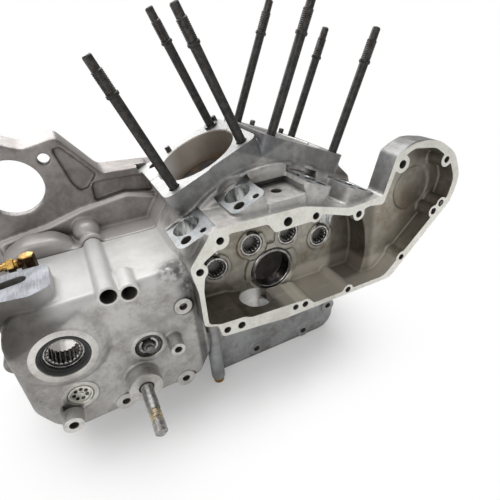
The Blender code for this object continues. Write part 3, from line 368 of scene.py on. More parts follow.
def inside_outline(spots, corners):
    """Which points lie inside a polygon given by its corners."""
    inside = np.zeros(len(spots), dtype=bool)
    a = spots[:, 0]
    b = spots[:, 1]
    for (a0, b0), (a1, b1) in zip(corners[-1:] + corners, corners):
        if b0 != b1:
            crosses = (b0 > b) != (b1 > b)
            inside ^= crosses & (a < (a1 - a0) * (b - b0) / (b1 - b0) + a0)
    return inside


# Places on the side of the case are (x, z).
CAMS = [(-66.0, 22.0), (-23.0, 38.0), (23.0, 38.0), (66.0, 22.0)]
MAINSHAFT = (-225.0, 6.0)
COUNTERSHAFT = (-226.0, -48.0)
SHIFT = (-154.5, -21.0)
PIVOT = (-168.0, -55.0)
TWIN_TUBE = (-176.0, 54.0)
SHORT_BOSS = (-159.0, 51.0)
SMALL_BOSS = (-130.0, -23.0)
LOWER_BOSS = (-237.5, -61.0)
VENT = (-233.0, -20.0)
GASKET_Y = -106.0
PAD_TOP = 70.0
SHELF_TOP = 101.0
PINION_FACE = -61.5
LIFTER_RADIUS = 13.2
CYLINDER_BORE = (CENTRE, 44.0, DECK_HEIGHT, 60.0, 1.0, 128)
STUD_HOLE = (5.3, DECK_HEIGHT, 121.0, 0.5, 32)
# x, z and radius of the screw holes in the gasket face.
COVER_HOLES = [
    (-74.5, 81.5, 3.2), (-97.0, 56.0, 3.2), (-4.5, 80.5, 4.2), (27.5, 77.5, 3.2), (82.0, 64.5, 3.2),
    (135.5, 107.0, 4.0), (202.5, 98.5, 3.2), (207.5, 44.5, 3.6), (197.0, 36.5, 3.6), (155.0, -13.5, 3.2),
    (75.5, -31.5, 3.2), (16.0, -28.0, 3.2), (3.5, -27.0, 3.0), (-62.0, -22.5, 3.6), (-78.0, -21.5, 3.2),
]
CHEST_ROOM = [
    (-98, -5), (-84, -13), (-58, -15), (-50, -19), (8, -23), (28, -34), (133, -35), (219, 50), (224, 73),
    (209, 101), (183, 118), (149, 123), (129, 114), (113, 69), (96, 73), (70, 69), (34, 80), (24, 76),
    (-19, 76), (-26, 86), (-68, 88), (-75, 77), (-96, 65), (-98, 34),
]
# x, z, the boss's face and its radius.
CASE_SCREWS = [
    (-27.0, -113.0, -61.5, 9.0), (43.0, -115.5, -61.5, 9.0), (81.0, -88.0, -63.0, 9.5),
    (-190.0, -79.0, -89.0, 10.0), (-126.0, -82.0, -89.0, 10.0), (-114.5, 14.0, -91.0, 9.0),
]
# Place across each cylinder and height of the flat of the lifters.
LIFTERS = [(-53.0, 114.0), (4.5, 111.0)]
STUDS = {
    "rear_stud_1": (REAR, -40.0, -40.0), "rear_stud_2": (REAR, 40.0, -40.0),
    "rear_stud_3": (REAR, 40.0, 40.0), "front_stud_1": (FRONT, -42.5, -42.5),
    "front_stud_2": (FRONT, 40.0, -40.0), "front_stud_3": (FRONT, -40.0, 40.0),
    "front_stud_4": (FRONT, 40.0, 40.0),
}


def deck_faces(low, high):
    """The flats of both decks between two distances to the left."""
    return [Faced(place, (-54.0, low), (54.0, high), DECK_HEIGHT, 1.0) for place in (REAR, FRONT)]


def right_faces():
    """The machined flats of the right casting."""
    faces = [
        Faced(SIDE, (-110.0, -45.0), (235.0, 125.0), GASKET_Y, -1.0),
        *deck_faces(-52.0, 6.5),
        Faced(PLAN, (-264.0, -84.0), (-216.0, -36.0), PAD_TOP, 1.0),
        Faced(PLAN, (-22.0, -101.0), (20.0, -54.0), SHELF_TOP, 1.0, 1.0),
    ]
    faces += [FacedDisc(*row) for row in (
        (MAINSHAFT, 27.5, -92.0), (COUNTERSHAFT, 16.0, -88.2), (SHIFT, 17.0, -88.0),
        (PIVOT, 17.0, -105.0), (TWIN_TUBE, 9.5, -95.0), (SHORT_BOSS, 9.0, -95.0),
        (SMALL_BOSS, 7.0, -105.0), (LOWER_BOSS, 9.0, -108.0), (CENTRE, 33.6, PINION_FACE),
    )]
    for place in (REAR, FRONT):
        for a, top in LIFTERS:
            faces.append(Faced(place, (a - 18.5, -98.0), (a + 18.5, -55.0), top, 1.0, 1.5))
    faces += [FacedDisc(centre, 17.0, -60.0) for centre in CAMS]
    faces += [FacedDisc((x, z), radius, near) for x, z, near, radius in CASE_SCREWS]
    return faces


def right_bores():
    """The bores and holes of the right casting, the two cylinder bores first."""
    bores = [Bored(place, *CYLINDER_BORE) for place in (REAR, FRONT)]
    bores += [Bored(SIDE, *row) for row in (
        (MAINSHAFT, 21.8, -92.0, -86.4, 0.5, 96), (MAINSHAFT, 18.4, -87.5, -50.0, 0.0, 96),
        (COUNTERSHAFT, 11.9, -88.2, -50.0, 0.4), (SHIFT, 13.4, -88.0, -50.0, 0.4),
        (PIVOT, 6.8, -105.0, -89.0, 0.8), (TWIN_TUBE, 6.7, -95.0, 15.0),
        (SHORT_BOSS, 6.2, -95.0, -69.0, 0.8),
        (SMALL_BOSS, 3.3, -105.0, -91.0, 0.5, 32), (LOWER_BOSS, 3.8, -108.0, -92.0, 0.5, 32),
        (CENTRE, 26.4, PINION_FACE, -40.0, 0.8, 96),
    )]
    bores.append(Bored(PLAN, (0.0, -77.0), 4.9, SHELF_TOP, 84.0, 0.7, 32))
    bores.append(Bored(PLAN, VENT, 5.0, 56.0, 42.0, 0.0, 32))
    bores += [Bored(SIDE, place, 13.4, -60.0, -49.1, 0.4) for place in CAMS]
    for x, z, radius in COVER_HOLES:
        bores.append(Bored(SIDE, (x, z), radius + 0.15, GASKET_Y, GASKET_Y + 21.0, 0.5, 32))
    for place in (REAR, FRONT):
        for a, top in LIFTERS:
            bores.append(Bored(place, (a, -67.0), LIFTER_RADIUS, top, 60.0, 0.7, 96))
            bores.append(Bored(place, (a - 8.0, -88.0), 5.1, top, top - 9.0, 0.4, 32))
            bores.append(Bored(place, (a + 9.5, -91.0), 3.0, top, top - 12.0, 0.4, 32))
    bores += [Bored(place, (a, y), *STUD_HOLE) for place, a, y in STUDS.values() if y < 0.0]
    bores += [Bored(SIDE, (x, z), 3.6, near, 6.0, 0.5, 32) for x, z, near, _ in CASE_SCREWS]
    return bores


def left_faces():
    """The machined flats of the left casting."""
    return [
        *deck_faces(6.5, 54.0),
        Faced(SIDE, (-300.0, -130.0), (92.0, 170.0), 88.0, 1.0),
        FacedDisc(CENTRE, 40.0, 56.0, 1.0),
    ]


def left_bores():
    """The bores and holes of the left casting, the two cylinder bores first."""
    bores = [Bored(place, *CYLINDER_BORE) for place in (REAR, FRONT)]
    bores += [Bored(SIDE, *row) for row in (
        ((-230.5, 118.0), 28.7, 44.0, 62.0, 0.6, 96), ((-195.0, 141.0), 5.8, 44.0, 62.0, 0.5, 32),
        ((-226.0, -22.0), 56.2, 56.0, 36.0, 0.0, 128), (CENTRE, 30.4, 56.0, 40.0, 0.6, 96),
    )]
    bores.append(Bored(REAR, (-40.0, 40.0), *STUD_HOLE))
    bores += [Bored(place, (a, y), *STUD_HOLE) for place, a, y in STUDS.values() if y > 0.0]
    return bores


class Socket:
    """An output socket; arithmetic on it adds Math nodes to its material."""

    def __init__(self, shader, link):
        self.shader = shader
        self.link = link

    def math(self, operation, *values):
        return self.shader.node("ShaderNodeMath", {"operation": operation}, dict(enumerate(values)))

    def __add__(self, other):
        return self.math("ADD", self, other)

    __radd__ = __add__

    def __sub__(self, other):
        return self.math("SUBTRACT", self, other)

    def __rsub__(self, other):
        return self.math("SUBTRACT", other, self)

    def __mul__(self, other):
        return self.math("MULTIPLY", self, other)

    __rmul__ = __mul__

    def least(self, other):
        return self.math("MINIMUM", self, other)

    def most(self, other):
        return self.math("MAXIMUM", self, other)

    def clamped(self):
        return self.least(1.0).most(0.0)

    def between(self, low, high, start=0.0):
        """The start value below low, 1 above high and a soft step between; also works downward."""
        return self.shader.node(
            "ShaderNodeMapRange", {"interpolation_type": "SMOOTHSTEP"},
            {"Value": self, "From Min": low, "From Max": high, "To Min": start, "To Max": 1.0})


class Shader:
    """The nodes of a material or of the world."""

    def __init__(self, owner):
        owner.use_nodes = True
        self.tree = owner.node_tree

    def node(self, kind, settings=None, values=None, output=0):
        """A new node with its settings, then the values or links of its sockets; gives one output."""
        made = self.tree.nodes.new(kind)
        for key, value in (settings or {}).items():
            setattr(made, key, value)
        for key, value in (values or {}).items():
            self.feed(made.inputs[key], value)
        return Socket(self, made.outputs[output])

    def feed(self, target, value):
        if isinstance(value, Socket):
            self.tree.links.new(value.link, target)
        elif isinstance(value, tuple) and len(value) == 3 and target.type == "RGBA":
            target.default_value = value + (1.0,)
        else:
            target.default_value = value

    def seen_by_eye(self):
        """1 for rays from the camera and for rays through glass."""
        eye, glass = (self.node("ShaderNodeLightPath", output="Is %s Ray" % kind)
                      for kind in ("Camera", "Transmission"))
        return eye.most(glass)

    def shown(self, output, share, first, second):
        """Show the first of two shaders, and the second by a share."""
        blend = self.node("ShaderNodeMixShader", None, {0: share, 1: first, 2: second})
        self.feed(self.tree.nodes[output].inputs["Surface"], blend)


class Finish(Shader):
    """A material in the making, whose colour is painted over step by step."""

    def __init__(self, name, colour, metallic=1.0):
        self.material = bpy.data.materials.new(name)
        super().__init__(self.material)
        self.surface = self.tree.nodes["Principled BSDF"]
        self.set("Metallic", metallic)
        self.colour = colour
        self._place = None

    def set(self, name, value):
        self.feed(self.surface.inputs[name], value)

    def done(self, rough, sway, cloud, more=0.0):
        """Set the colour and a roughness that sways with a noise, and give the material."""
        self.set("Base Color", self.colour)
        self.set("Roughness", (rough + sway * (cloud - 0.5) + more).clamped())
        return self.material

    def place(self):
        if self._place is None:
            self._place = self.node("ShaderNodeTexCoord", output="Object")
        return self._place

    def axis(self, index):
        """One coordinate in millimetres from the crank axis."""
        part = self.node("ShaderNodeSeparateXYZ", None, {0: self.place()}, index) * 1000.0
        return part - CRANK_HEIGHT if index == 2 else part

    def along(self, direction):
        """The distance in millimetres along a direction, from the crank axis."""
        spot = self.node("ShaderNodeVectorMath", {"operation": "DOT_PRODUCT"},
                         {0: self.place(), 1: tuple(direction)}, "Value")
        return spot * 1000.0 - direction[2] * CRANK_HEIGHT

    def noise(self, size, detail=4.0, roughness=0.55, shift=(0.0, 0.0, 0.0), stretch=(1.0, 1.0, 1.0)):
        """Soft noise from 0 to 1 with lumps about size millimetres wide."""
        spot = self.node("ShaderNodeMapping", None,
                         {"Vector": self.place(), "Location": shift, "Scale": stretch})
        return self.node("ShaderNodeTexNoise", None, {
            "Vector": spot, "Scale": 1000.0 / size, "Detail": detail, "Roughness": roughness})

    def paint(self, share, colour, blend="MIX"):
        """Put a colour over the present one, by a share from 0 to 1."""
        self.colour = self.node("ShaderNodeMix", {"data_type": "RGBA", "blend_type": blend},
                                {0: share, 6: self.colour, 7: colour}, 2)

    def tint(self, share, shade):
        """Multiply the colour by a shade, by a share from 0 to 1."""
        self.paint(share, shade, "MULTIPLY")

    def near(self, centre, radius, fade):
        """1 within a radius of a point given in millimetres from the crank axis, fading out."""
        spot = tuple((Vector(centre) + CRANK) * MM)
        away = self.node("ShaderNodeVectorMath", {"operation": "DISTANCE"},
                         {0: self.place(), 1: spot}, "Value")
        return (away * 1000.0).between(radius + fade, radius)

    def crevice(self, reach):
        """1 in the open, falling to 0 in corners, from how much of the sky a point sees."""
        return self.node("ShaderNodeAmbientOcclusion", {"samples": 8}, {"Distance": reach * MM}, "AO")

    def edge(self, reach):
        """0 on outer edges, where the inside of the metal is thin, and 1 elsewhere."""
        seen = self.node("ShaderNodeAmbientOcclusion", {"samples": 8, "inside": True},
                         {"Distance": reach * MM}, "AO")
        return seen.between(0.42, 0.62)

    def bump(self, height, depth):
        """Feed a height from 0 to 1, standing for a depth in millimetres, to the surface."""
        self.set("Normal", self.node("ShaderNodeBump", None, {
            "Height": height, "Distance": depth * MM, "Strength": 1.0}))


def cast_finish(name, light, dark, stain, speck=0.5, rough=0.5, metallic=0.75, corner_grime_and_shade=0.8, areas=None):
    """Cast aluminium: sandy, with cloudy oxide, brown stain, dark specks, and soiling with painted shade
    in the corners.

    areas paints special places and tells how matt they are.
    """
    finish = Finish(name, dark, metallic)
    clouds = finish.noise(34.0, 5.0, 0.6)
    small = finish.noise(7.0, 5.0, 0.65, (3.1, 1.7, 0.4))
    grain = finish.noise(1.3, 3.0, 0.6)
    finish.paint((clouds * 0.6 + small * 0.4).between(0.36, 0.62), light)
    blotch = finish.noise(22.0, 6.0, 0.7, (7.0, 2.0, 5.0)).between(0.52, 0.7)
    finish.paint(blotch * 0.55, stain)
    specks = finish.noise(2.6, 2.0, 0.5, (1.0, 8.0, 2.0)).between(0.66, 0.75)
    patch = finish.noise(28.0, 3.0, 0.6, (4.0, 4.0, 1.0)).between(0.45, 0.62)
    finish.paint(specks * patch * speck, (0.05, 0.045, 0.04))
    if areas is not None:
        finish.set("Metallic", metallic - 0.55 * areas(finish, small))
    # Corners that see little sky are darkened: partly real soiling, partly painted shade.
    open_sky = finish.crevice(14.0)
    grime_and_corner_shade = (1.0 - open_sky.between(0.25, 0.8)) * (0.55 + 0.9 * small)
    finish.paint(grime_and_corner_shade.clamped() * corner_grime_and_shade, (0.045, 0.038, 0.032))
    finish.bump(grain * 0.45 + small * 0.55, 0.22)
    return finish.done(rough, 0.22, small, 0.25 * grime_and_corner_shade)


def machined_finish(name, light, dark, stain, streak=(1.0, 1.0, 1.0), rough=0.32, metallic=0.85):
    """A milled face: bright, faintly streaked, with stains and a few dark pits."""
    finish = Finish(name, dark, metallic)
    clouds = finish.noise(26.0, 5.0, 0.62, (2.0, 5.0, 9.0))
    lines = finish.noise(3.0, 2.0, 0.5, (0.0, 0.0, 0.0), streak)
    finish.paint((clouds * 0.75 + lines * 0.25).between(0.34, 0.6), light)
    pits = finish.noise(2.1, 3.0, 0.6, (9.0, 1.0, 2.0)).between(0.68, 0.76)
    finish.paint(pits * 0.75, stain)
    finish.bump(lines * 0.6 + pits * -0.4 + 0.4, 0.05)
    return finish.done(rough, 0.3, clouds)


def steel_finish(name, light, dark, rough=0.3, metallic=1.0, rust=0.0):
    """Plain cloudy metal or rubber, with spots of rust where asked for."""
    finish = Finish(name, dark, metallic)
    cloud = finish.noise(5.0, 4.0, 0.6)
    fine = finish.noise(0.9, 2.0, 0.5, (4.0, 2.0, 1.0))
    finish.paint(cloud.between(0.35, 0.65), light)
    if rust > 0.0:
        spots = finish.noise(3.0, 5.0, 0.7, (2.0, 7.0, 3.0)).between(0.5, 0.66)
        finish.paint(spots * rust, (0.16, 0.075, 0.035))
    finish.bump(fine, 0.03)
    return finish.done(rough, 0.25, cloud)


def right_areas(finish, small):
    """The right casting: dark deck sides, a pale gearbox roof, painted shade below the pad, in a crease
    and in the pad's slot, painted shadows below the screw bosses, black oil and brown rust.
    """
    x, y, z = (finish.axis(index) for index in range(3))
    gearbox = x.between(-98.0, -106.0)
    for place in (REAR, FRONT):
        finish.tint(finish.along(place.n).between(116.0, 120.0), (0.62, 0.63, 0.65))
    finish.tint(z.between(-38.0, -46.0) * (1.0 - gearbox), (0.78, 0.81, 0.84))
    finish.tint(z.between(-48.0, -96.0) * gearbox, (0.88, 0.86, 0.85))
    # Painted shade on the rear end of the gearbox below the pad, and a patch of painted shade under the
    # pad's near corner.
    pad_side_shade = x.between(-236.0, -262.0) * z.between(66.0, 58.0)
    finish.tint(pad_side_shade, (0.60, 0.59, 0.58))
    finish.tint(finish.near((-244.0, -84.0, 42.0), 22.0, 16.0), (0.62, 0.60, 0.58))
    # Painted shade in the crease where the gearbox meets the chest.
    crease_shade = x.between(-107.0, -103.0) * x.between(-96.0, -98.5) * z.between(62.0, 44.0)
    finish.tint(crease_shade, (0.40, 0.39, 0.38))
    under_pad = x.between(-212.0, -238.0) * y.between(-46.0, -60.0)
    roof = gearbox * z.between(40.0, 49.0) * (1.0 - under_pad)
    finish.paint(roof * 0.62, (0.66, 0.655, 0.64))
    finish.tint(under_pad * z.between(6.0, 36.0), (0.62, 0.60, 0.585))
    facet = x.between(-108.0, -103.0) * x.between(-82.0, -90.0) * z.between(92.0, 82.0)
    facet = facet * z.between(44.0, 54.0) * y.between(-70.0, -76.0)
    finish.tint(facet * (0.55 + 0.8 * small).clamped(), (0.40, 0.385, 0.37))
    # Painted shade inside the slot of the pad.
    slot_shade = z.between(69.7, 69.0) * y.between(-63.0, -60.0) * y.between(-44.0, -47.0)
    finish.tint(slot_shade * x.between(-228.0, -231.0), (0.34, 0.335, 0.33))
    # A painted shadow below each screw boss on the gearbox.
    for place_x, place_z, near, radius in CASE_SCREWS[3:]:
        screw_boss_shadow = finish.near((place_x + 2.0, near, place_z - 3.6), radius + 0.6, 1.8)
        finish.tint(screw_boss_shadow, (0.26, 0.25, 0.24))
    oil = finish.near((-236.0, -90.0, -50.0), 3.0, 14.0) * 0.7
    for centre, radius, fade in (
        ((-116.0, -84.0, 54.0), 5.0, 16.0), ((-104.0, -84.0, 34.0), 4.0, 14.0),
        ((-92.0, -60.0, 86.0), 8.0, 16.0), ((-100.0, -75.0, 0.0), 4.0, 12.0),
    ):
        oil = oil.most(finish.near(centre, radius, fade))
    finish.paint((oil * small.between(0.36, 0.58)).clamped() * 0.85, (0.055, 0.052, 0.05))
    rust = finish.near((-225.0, -90.0, -16.0), 6.0, 18.0)
    rust = rust.most(finish.near((-222.0, -88.0, -66.0), 4.0, 16.0))
    finish.paint(rust * small.between(0.42, 0.62) * 0.5, (0.20, 0.13, 0.085))
    return roof


def chest_areas(finish, small):
    """The cam chest: a painted highlight band on its floor, a dark step and brown stains on the lobe."""
    x, y, z = (finish.axis(index) for index in range(3))
    floor = z.between(-8.0, -16.0)
    bright = floor * x.between(-16.0, -6.0)
    # A painted highlight band across the floor.
    band = x.between(2.0, 6.0) * x.between(28.0, 22.0)
    finish.paint(bright * 0.7, (0.60, 0.55, 0.47))
    finish.paint(floor * band * 0.8, (0.84, 0.80, 0.66))
    corner = z.between(4.0, -6.0) * x.between(-24.0, -40.0)
    finish.tint(corner, (0.52, 0.50, 0.48))
    brown = finish.near((150.0, -86.0, 40.0), 14.0, 34.0) * small.between(0.4, 0.6)
    finish.paint(brown * 0.55, (0.22, 0.14, 0.075))
    finish.tint(x.between(152.0, 178.0), (0.60, 0.575, 0.56))
    step = x.between(78.0, 88.0) * x.between(128.0, 118.0) * y.between(-92.0, -84.0)
    finish.tint(step, (0.42, 0.40, 0.38))
    finish.tint(y.between(-66.0, -58.0) * z.between(34.0, 66.0), (0.72, 0.70, 0.64))
    return bright


def left_areas(finish, small):
    """The left casting: worn edges with a painted edge highlight, and painted highlights on the rounded
    top of the gearbox and on the ledge over it.
    """
    # Paler outer edges: partly real wear, partly a painted highlight along them.
    worn = (1.0 - finish.edge(2.4)) * small.between(0.25, 0.5)
    finish.paint(worn * 0.75, (0.74, 0.70, 0.67))
    y, z = (finish.axis(index) for index in (1, 2))
    # Painted highlight on the casting in front of its plate, where the gearbox top rounds over.
    hump_highlight = y.between(41.0, 35.0)
    finish.paint(hump_highlight * 0.65, (0.58, 0.555, 0.54))
    # Painted highlight along the top of the ledge.
    ledge_highlight = y.between(43.9, 43.1) * y.between(38.9, 39.9) * z.between(58.0, 64.0)
    finish.paint(ledge_highlight * 0.75, (0.80, 0.76, 0.73))
    return (hump_highlight * 0.6).most(ledge_highlight * 0.8)


def pad_finish():
    """The bracket pad: bluish bare metal with cloudy scratches along it."""
    finish = Finish("scratched_pad", (0.19, 0.195, 0.215), 0.5)
    lines = finish.noise(9.0, 2.0, 0.5, (1.0, 0.0, 0.0), (7.0, 1.0, 1.0))
    clouds = finish.noise(24.0, 3.0, 0.5, (5.0, 5.0, 0.0))
    finish.paint((lines * 0.4 + clouds * 0.6).between(0.36, 0.64), (0.36, 0.37, 0.40))
    finish.bump(lines, 0.05)
    return finish.done(0.48, 0.25, lines)


def cylinder_finish():
    """The cylinder bores: the rear one fades from pale to dark brown, the front one is pale."""
    finish = Finish("cylinder_bore", (0.92, 0.90, 0.87), 0.35)
    clouds = finish.noise(18.0, 4.0, 0.6, (1.0, 4.0, 2.0))
    across = finish.axis(0) + 12.0 * (clouds - 0.5)
    finish.paint(across.between(-84.0, -56.0), (0.54, 0.49, 0.43))
    finish.paint(across.between(-48.0, -16.0), (0.28, 0.245, 0.205))
    # Browner deeper in the rear bore.
    brown_deep_in_bore = finish.along(REAR.n).between(118.0, 108.0)
    finish.paint(brown_deep_in_bore * 0.7, (0.24, 0.15, 0.085))
    finish.paint(across.between(6.0, 20.0), (0.66, 0.65, 0.63))
    return finish.done(0.42, 0.25, clouds)


def tappet_finish():
    """The lifter bores: bright honed walls with upright streaks."""
    finish = Finish("tappet_bore", (0.30, 0.31, 0.31), 0.9)
    streaks = finish.noise(3.2, 3.0, 0.6, (2.0, 0.0, 0.0), (1.0, 1.0, 0.15))
    finish.paint(streaks.between(0.38, 0.62), (0.66, 0.67, 0.66))
    return finish.done(0.3, 0.3, streaks)


def pump_finish():
    """The pump bore: pale and clean below the floor, dark on its front side."""
    finish = Finish("pump_bore", (0.60, 0.58, 0.55), 0.8)
    cloud = finish.noise(9.0, 4.0, 0.6)
    finish.paint(cloud.between(0.36, 0.62), (0.74, 0.72, 0.69))
    finish.paint(finish.axis(0).between(-23.0, -17.0), (0.20, 0.185, 0.17))
    finish.paint(finish.axis(2).between(-22.0, -20.0), (0.15, 0.135, 0.11))
    return finish.done(0.42, 0.2, cloud)


def fitting_finish():
    """The vent fitting: yellow metal, with painted shade in dark brown on the sides of its head and
    under the pipe.
    """
    finish = Finish("vent_brass", (0.34, 0.19, 0.045), 0.9)
    cloud = finish.noise(4.0, 4.0, 0.65)
    x = finish.axis(0)
    z = finish.axis(2) + 2.0 * (cloud - 0.5)
    finish.paint(cloud.between(0.36, 0.64), (0.66, 0.43, 0.13))
    # Painted shade: the sides of the head below its top, and the underside of the pipe.
    side = x.between(-243.0, -240.5) * z.between(75.6, 74.6)
    under = x.between(-240.5, -243.0) * z.between(70.0, 67.5)
    finish.paint((side.most(under) * (0.78 + 0.4 * cloud)).clamped(), (0.030, 0.015, 0.008))
    return finish.done(0.34, 0.2, cloud)


def pivot_finish():
    """The pivot stud: dull steel, with a yellow worn band before its thread."""
    finish = Finish("worn_stud", (0.24, 0.235, 0.23))
    cloud = finish.noise(4.0, 4.0, 0.65)
    y = finish.axis(1)
    finish.paint(cloud.between(0.36, 0.64), (0.46, 0.45, 0.43))
    band = y.between(-134.0, -137.0) * y.between(-150.0, -146.0)
    finish.paint(band * cloud.between(0.35, 0.6) * 0.8, (0.62, 0.50, 0.28))
    return finish.done(0.4, 0.25, cloud)


CAST_RIGHT = cast_finish(
    "cast_right", (0.60, 0.59, 0.57), (0.38, 0.365, 0.35), (0.25, 0.21, 0.17), areas=right_areas)
CAST_LEFT = cast_finish(
    "cast_left", (0.36, 0.335, 0.32), (0.22, 0.20, 0.19), (0.18, 0.14, 0.11), 0.3, 0.46,
    areas=left_areas)
CHEST = cast_finish(
    "cast_chest", (0.46, 0.44, 0.385), (0.29, 0.27, 0.225), (0.22, 0.15, 0.09), 0.25, 0.42, corner_grime_and_shade=0.6,
    areas=chest_areas)
BOSS = cast_finish(
    "boss_face", (0.74, 0.72, 0.69), (0.52, 0.50, 0.47), (0.30, 0.24, 0.18), 0.4, 0.45, 0.8)
DECK = machined_finish(
    "machined_deck", (0.42, 0.42, 0.415), (0.31, 0.31, 0.305), (0.16, 0.14, 0.12),
    rough=0.5, metallic=0.7)
TAPPET_FLAT = machined_finish(
    "tappet_flat", (0.40, 0.41, 0.415), (0.25, 0.26, 0.265), (0.10, 0.10, 0.10),
    rough=0.5, metallic=0.7)
GASKET = machined_finish(
    "machined_gasket", (0.86, 0.85, 0.79), (0.70, 0.68, 0.61), (0.16, 0.13, 0.09), rough=0.45)
BORE = machined_finish(
    "machined_bore", (0.50, 0.46, 0.41), (0.32, 0.28, 0.23), (0.14, 0.1, 0.07), (0.2, 1.0, 1.0))
PUMP = pump_finish()
# Drilled holes are painted near black: painted shade inside the holes.
HOLE = machined_finish(
    "drilled_hole_painted_shade", (0.10, 0.09, 0.08), (0.045, 0.04, 0.036), (0.02, 0.02, 0.02),
    rough=0.6, metallic=0.3)
PAD = pad_finish()
CYLINDER = cylinder_finish()
TAPPET_BORE = tappet_finish()
BLACK_OXIDE = steel_finish("black_oxide", (0.060, 0.057, 0.055), (0.028, 0.027, 0.026), 0.46, 0.5)
THREAD_BLACK = steel_finish("stud_thread", (0.085, 0.08, 0.076), (0.04, 0.038, 0.036), 0.42, 0.7)
STEEL = steel_finish("bearing_steel", (0.60, 0.59, 0.57), (0.36, 0.35, 0.34), 0.28)
ROLLER = steel_finish("roller_steel", (0.52, 0.50, 0.48), (0.26, 0.25, 0.24), 0.2)
DARK_STEEL = steel_finish("dark_steel", (0.13, 0.125, 0.12), (0.055, 0.053, 0.05), 0.26)
RACE = steel_finish("ground_race", (0.34, 0.33, 0.32), (0.17, 0.165, 0.16), 0.18)
DULL_STEEL = steel_finish("dull_steel", (0.32, 0.31, 0.30), (0.17, 0.165, 0.16), 0.42, 1.0, 0.35)
WORN_STUD = pivot_finish()
RUBBER = steel_finish("seal_rubber", (0.035, 0.034, 0.033), (0.018, 0.018, 0.018), 0.5, 0.0)
BRASS = steel_finish("dull_brass", (0.55, 0.33, 0.10), (0.28, 0.16, 0.05), 0.35)
VENT_BRASS = fitting_finish()


RIGHT_FINISHES = [
    CAST_RIGHT, CHEST, DECK, GASKET, BORE, BOSS, TAPPET_FLAT, PAD, CYLINDER, TAPPET_BORE, PUMP, HOLE,
]
LEFT_FINISHES = [CAST_LEFT, CHEST, DECK, CYLINDER, HOLE]
BORE_SLACK = 0.12
HOLE_LIMIT = 8.0
PUMP_CENTRE = (-30.0, -75.0)


def on_flat(face, centres, normals):
    """Faces of a casting that lie on a machined flat."""
    facing = normals @ np.array(face.place.n) * face.outward
    return face.picks(face.place.coordinates(centres), FACE_REACH, 0.06) & (facing > 0.98)


def in_bore(bore, centres):
    return bore.picks(bore.place.coordinates(centres), BORE_SLACK)


def flat_finish(face):
    """The finish of a machined flat of the right casting."""
    if face.depth == GASKET_Y:
        return GASKET
    if face.depth == DECK_HEIGHT:
        return DECK
    if face.place in (REAR, FRONT):
        return TAPPET_FLAT
    if face.depth == PAD_TOP:
        return PAD
    if face.depth == SHELF_TOP:
        return CAST_RIGHT
    if face.depth > -64.0:
        return CHEST if face.depth > PINION_FACE or face.radius > 20.0 else CAST_RIGHT
    return BOSS


def right_choice(centres, normals):
    """Which faces of the right casting carry which finish; later ones win."""
    side = SIDE.coordinates(centres)
    room = inside_outline(side, CHEST_ROOM) & (side[:, 2] < -50.0) & (side[:, 2] > GASKET_Y + 0.05)
    yield room, CHEST
    for number, bore in enumerate(right_bores()):
        finish = BORE
        if number < 2:
            finish = CYLINDER
        elif bore.radius == LIFTER_RADIUS:
            finish = TAPPET_BORE
        elif bore.radius < HOLE_LIMIT:
            finish = HOLE
        yield in_bore(bore, centres), finish
    plan = PLAN.coordinates(centres)
    away = np.hypot(plan[:, 0] - PUMP_CENTRE[0], plan[:, 1] - PUMP_CENTRE[1])
    yield (away < 19.2) & (plan[:, 2] < -22.5) & (plan[:, 2] > -62.0), PUMP
    for face in right_faces():
        yield on_flat(face, centres, normals), flat_finish(face)


def left_choice(centres, normals):
    """Which faces of the left casting carry which finish."""
    for bore in left_bores()[:2]:
        yield in_bore(bore, centres), CYLINDER
    for face in left_faces():
        yield on_flat(face, centres, normals), DECK


def castings():
    right = softened("right_casting", "right_crankcase", right_faces(), right_bores(), 1.1)
    finish_faces(right, RIGHT_FINISHES, right_choice)
    stands_for(right, "right_crankcase", "case")
    left = softened("left_casting", "left_crankcase", left_faces(), left_bores(), 1.2)
    finish_faces(left, LEFT_FINISHES, left_choice)
    stands_for(left, "left_crankcase", "case")


# Bearings, studs and fittings.
def rollers(name, centre, pitch_radius, radius, count, near, far):
    """Needle rollers side by side, each a small cylinder with broken edges."""
    data = bmesh.new()
    broken = 0.3
    inner = radius - broken
    profile = [(inner, near), (radius, near + broken), (radius, far - broken), (inner, far)]
    for number in range(count):
        angle = 2.0 * math.pi * number / count
        spot = around(centre, pitch_radius, angle)
        skin(data, [[data.verts.new(SIDE.point(a, b, depth)) for a, b in circle(spot, size, 12, angle)]
                    for size, depth in profile])
    return new_solid(name, data)


def sleeve(name, centre, outer, inner, near, far, edge, count):
    """A plain ring with broken edges."""
    profile = rounded_profile([(outer, near), (outer, far), (inner, far), (inner, near)], edge)
    return turned(name, SIDE, centre, profile, count)


def cam_bearings():
    """Drawn cups with a turned-in lip, a dark cage and its rollers."""
    near = -59.5
    for number, place in enumerate(CAMS, start=1):
        profile = rounded_profile([
            (13.0, near), (13.0, near + 10.0), (11.9, near + 10.0), (11.9, near + 1.0),
            (10.9, near + 1.0), (10.9, near),
        ])
        cup = turned("cam_cup_%d" % number, SIDE, place, profile, 80)
        dressed(cup, "cam_bearing_%d" % number, "case", [STEEL])
        body = "cam_rollers_%d" % number
        cage = sleeve("cage", place, 10.7, 9.3, near + 1.4, near + 9.4, 0.2, 72)
        needles = rollers("needles", place, 9.9, 1.45, 14, near + 1.6, near + 9.2)
        dressed(joined("cam_needles_%d" % number, [needles, cage]), body, body,
                [ROLLER, DARK_STEEL])


def main_bearings():
    """The pinion and sprocket races, ground smooth, with broken edges."""
    race = sleeve("pinion_sleeve", CENTRE, 26.0, 22.0, -62.4, -46.0, 0.8, 128)
    dressed(race, "pinion_race", "case", [RACE])
    other = sleeve("sprocket_sleeve", CENTRE, 30.0, 26.0, 45.5, 57.0, 0.8, 128)
    dressed(other, "sprocket_race", "case", [RACE])


